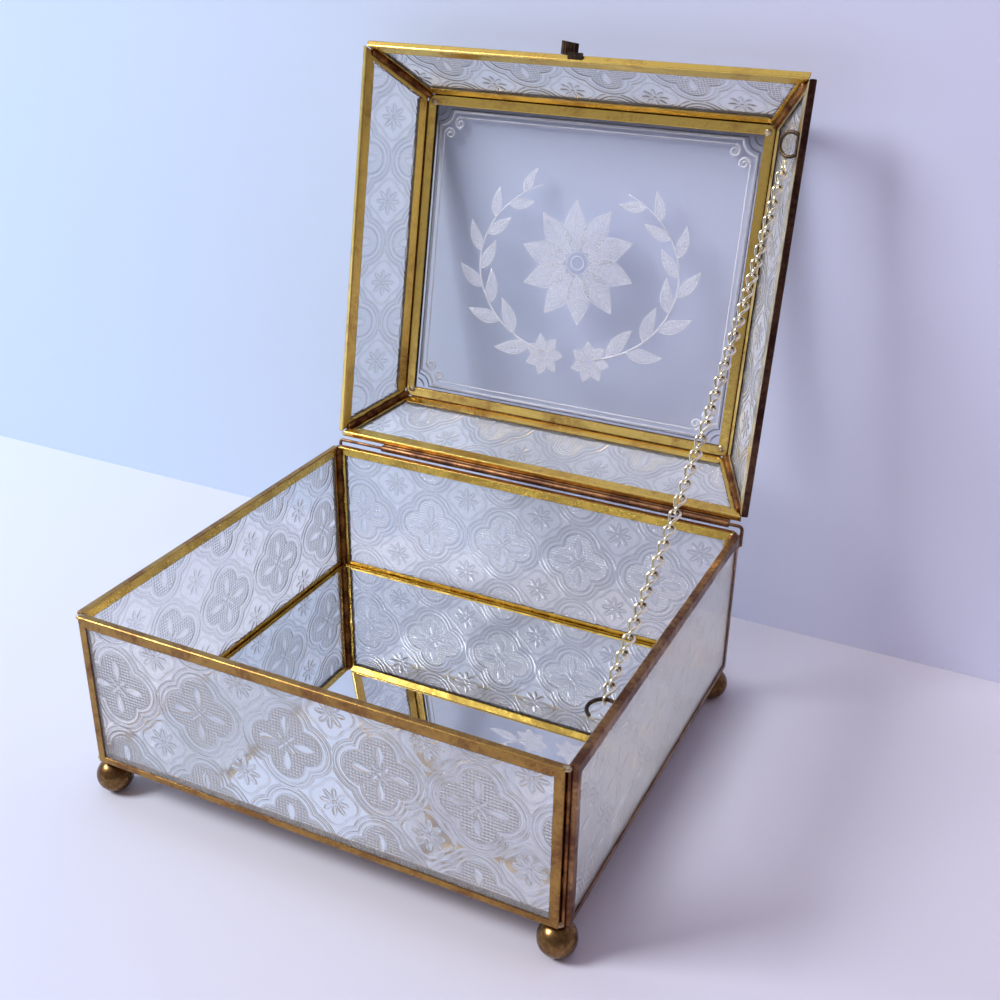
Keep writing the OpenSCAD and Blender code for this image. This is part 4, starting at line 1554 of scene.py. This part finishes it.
@dataclass
class Studio:
    """Pale table and wall, soft window light and the camera."""

    wall_y: float = 0.1012
    # Painted light and shade: table and wall bluer to the left, the table darker to the right.
    table_left: tuple[float, float, float] = (0.66, 0.71, 0.84)
    table_right: tuple[float, float, float] = (0.61, 0.585, 0.68)
    wall_left: tuple[float, float, float] = (0.565, 0.70, 0.87)
    wall_right: tuple[float, float, float] = (0.62, 0.625, 0.82)
    reach: float = 3.0
    ambient: float = 0.30
    ambient_colour: tuple[float, float, float] = (1.0, 0.68, 0.60)
    backdrop: tuple[float, float, float] = (0.66, 0.68, 0.90)

    CAMERA_AT = (0.176177, -0.337949, 0.267345)
    CAMERA_RIGHT = (0.89751, 0.44080, 0.01296)
    CAMERA_DOWN = (0.20399, -0.38892, -0.89840)
    CAMERA_FORWARD = (-0.39097, 0.80897, -0.43898)
    FOCAL_OF_WIDTH = 1.26194
    SENSOR_MM = 36.0

    def sheet(self, name: str, corners: list[tuple[float, float, float]],
              left: tuple[float, float, float], right: tuple[float, float, float],
              see_through_back: bool) -> None:
        """One flat side of the studio.

        Args:
            name: Its name.
            corners: Four corners, anticlockwise from its front.
            left: Its colour towards the left.
            right: Its colour towards the right.
            see_through_back: Whether it vanishes when seen from behind.
        """
        mesh = bpy.data.meshes.new(name)
        mesh.from_pydata(corners, [], [(0, 1, 2, 3)])
        made = bpy.data.objects.new(name, mesh)
        bpy.context.scene.collection.objects.link(made)
        material, w, paint, output = new_material(name, "BsdfDiffuse")
        place, parts = w.add("TexCoord"), w.add("SeparateXYZ")
        w.join(place.outputs["Object"], parts.inputs[0])
        cloud = w.times(w.noise(place.outputs["Object"], 4.0, 3.0), 0.08)
        # Painted light: the colour runs from the left one to the right one.
        shade = w.mix(w.span(w.plus(parts.outputs[0], cloud), -0.28, 0.30), left, right)
        w.join(shade, paint.inputs["Color"])
        if see_through_back:
            behind = w.add("NewGeometry").outputs["Backfacing"]
            mixed = w.blend(behind, paint, w.add("BsdfTransparent"))
            w.join(mixed.outputs[0], output.inputs["Surface"])
        mesh.materials.append(material)

    def lamp(self, name: str, at: tuple[float, float, float], aim: tuple[float, float, float],
             size: float, watts: float, colour: tuple[float, float, float],
             shown: bool = True) -> None:
        """A soft square lamp.

        Args:
            name: Its name.
            at: Where it is.
            aim: The point it faces.
            size: Length of its sides.
            watts: Its power.
            colour: Its colour.
            shown: Whether metal and glass reflect it.
        """
        light = bpy.data.lights.new(name, "AREA")
        light.shape, light.size, light.energy, light.color = "SQUARE", size, watts, colour
        made = bpy.data.objects.new(name, light)
        made.location = at
        made.visible_glossy = shown
        made.rotation_euler = (Vector(aim) - Vector(at)).to_track_quat("-Z", "Y").to_euler()
        bpy.context.scene.collection.objects.link(made)

    def sky(self) -> None:
        """The room: a plain ambient level, and a pale surround that metal and glass show.

        Reflections see a room that is pale overhead and to the left, and darker low down, to the
        right and at the front.
        """
        world = bpy.data.worlds.new("room")
        bpy.context.scene.world = world
        world.use_nodes = True
        w = Wiring(world.node_tree)
        place, parts = w.add("TexCoord"), w.add("SeparateXYZ")
        w.join(place.outputs["Generated"], parts.inputs[0])
        high = w.span(parts.outputs[2], -0.1, 0.75, 0.45, 0.85)
        front = w.span(parts.outputs[1], -0.9, 0.2, 0.7, 1.0)
        left = w.span(parts.outputs[0], -0.7, 0.7, 1.0, 0.42)
        tone = w.mix(w.times(w.times(high, front), left), (0.05, 0.04, 0.045), (0.86, 0.86, 0.89))
        rays = w.add("LightPath")
        seen = w.math("MAXIMUM", rays.outputs["Is Glossy Ray"], rays.outputs["Is Transmission Ray"])
        lit, shown, pale = w.add("Background"), w.add("Background"), w.add("Background")
        w.feed(lit, {0: self.ambient_colour, 1: self.ambient})
        w.feed(shown, {0: tone})
        w.feed(pale, {0: self.backdrop})
        room = w.blend(rays.outputs["Is Camera Ray"], w.blend(seen, lit, shown), pale)
        w.join(room.outputs[0], w.add("OutputWorld").inputs["Surface"])

    def camera(self) -> None:
        """The camera, whose rotation's columns are its right, its up and its backward direction."""
        data = bpy.data.cameras.new("camera")
        data.sensor_width = self.SENSOR_MM
        data.lens = self.SENSOR_MM * self.FOCAL_OF_WIDTH
        data.clip_start, data.clip_end = 0.01, 20.0
        made = bpy.data.objects.new("camera", data)
        right, down, ahead = map(np.array, (self.CAMERA_RIGHT, self.CAMERA_DOWN, self.CAMERA_FORWARD))
        turn = Matrix(np.column_stack([right, -down, -ahead]).tolist())
        made.matrix_world = Matrix.Translation(self.CAMERA_AT) @ turn.to_4x4()
        bpy.context.scene.collection.objects.link(made)
        bpy.context.scene.camera = made

    def build(self) -> None:
        """Sets the whole studio."""
        scene = bpy.context.scene
        scene.view_settings.view_transform = "Standard"
        r, y = self.reach, self.wall_y
        self.sheet("table", [(-r, -r, 0), (r, -r, 0), (r, y, 0), (-r, y, 0)],
                   self.table_left, self.table_right, False)
        self.sheet("wall", [(-r, y, 0), (r, y, 0), (r, y, r), (-r, y, r)],
                   self.wall_left, self.wall_right, True)
        self.lamp("window", (-1.76, -1.2, 1.84), (0, 0, 0.08), 0.9, 80.0, (0.94, 0.975, 1.0))
        self.lamp("ceiling", (0.1, -0.3, 1.7), (0, 0, 0.05), 1.6, 4.0, (0.97, 0.96, 1.0), False)
        self.sky()
        self.camera()
        log.info("studio set")


# ---------------------------------------------------------------- whole


@dataclass
class DressedNodes:
    """The CAD nodes that stay in view, with their finishes."""

    palette: Palette

    def build(self) -> None:
        """Gives each node its finish."""
        dress = self.palette.dress
        dress(Finish.CLEAR_GLASS, ["lid_top_glass"])
        dress(Finish.SILVER, ["mirror_floor"])
        dress(Finish.BASE_BRASS, ["front_frame"])
        dress(Finish.BACK_BRASS, ["back_frame"])
        dress(Finish.LEFT_BRASS, ["left_frame"])
        dress(Finish.RIGHT_BRASS, ["right_frame"])
        dress(Finish.FLOOR_BRASS, ["floor_frame"])
        dress(Finish.LID_BRASS, ["lid_top_frame", "lid_back_frame", "lid_left_frame",
                                 "lid_front_frame"])
        dress(Finish.RIM_BRASS, ["lid_right_frame"])
        dress(Finish.HINGE_BRASS, ["hinge_tube", "hinge_pin"])
        dress(Finish.DARK_BRASS, ["thumb_tab", "base_chain_ring", "lid_chain_ring"])
        dress(Finish.SEAM, ["base_solder", "lid_solder"])


def middle_of(nodes: list[str]) -> np.ndarray:
    """Finds the middle of the box round several nodes.

    Args:
        nodes: Names of the nodes.

    Returns:
        The middle.
    """
    boxes = [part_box(n) for n in nodes]
    low = np.min([np.array(b[0]) for b in boxes], axis=0)
    high = np.max([np.array(b[1]) for b in boxes], axis=0)
    return (low + high) / 2


def main() -> None:
    """Builds the looks in order."""
    logging.basicConfig(level=logging.INFO, format="%(name)s: %(message)s")
    palette = Palette()
    base_inside = middle_of(["front_glass", "back_glass"])
    lid_inside = middle_of(["lid_front_glass", "lid_back_glass"])
    DressedNodes(palette).build()
    PressedPanes(palette, PressedPattern(), base_inside, lid_inside).build()
    crown = PanePlane.of_node("lid_top_glass", lid_inside)
    EtchedTop(crown, palette).build()
    StayChain(palette).build()
    BallFeet(palette).build()
    planes = [PanePlane.of_node(n, lid_inside) for n in ("lid_front_glass", "lid_back_glass")]
    SolderBeads(palette).build(planes + [crown])
    seams = SolderSeams(palette)
    walls = [PanePlane.of_node(f"{side}_glass", base_inside) for side in ROUND]
    foot, brim = (PanePlane.level(end.z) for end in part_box("front_glass"))
    seams.build("base_solder_seams", Body.BASE, walls, foot, brim, (0.0, 0.0))
    slopes = [PanePlane.of_node(f"lid_{side}_glass", lid_inside) for side in ROUND]
    rim = PanePlane(slopes[0].start, crown.along, crown.up, crown.out)
    seams.build("lid_solder_seams", Body.LID, slopes, rim, crown, (-0.5, 1.4))
    Studio().build()


if __name__ == "__main__":
    main()
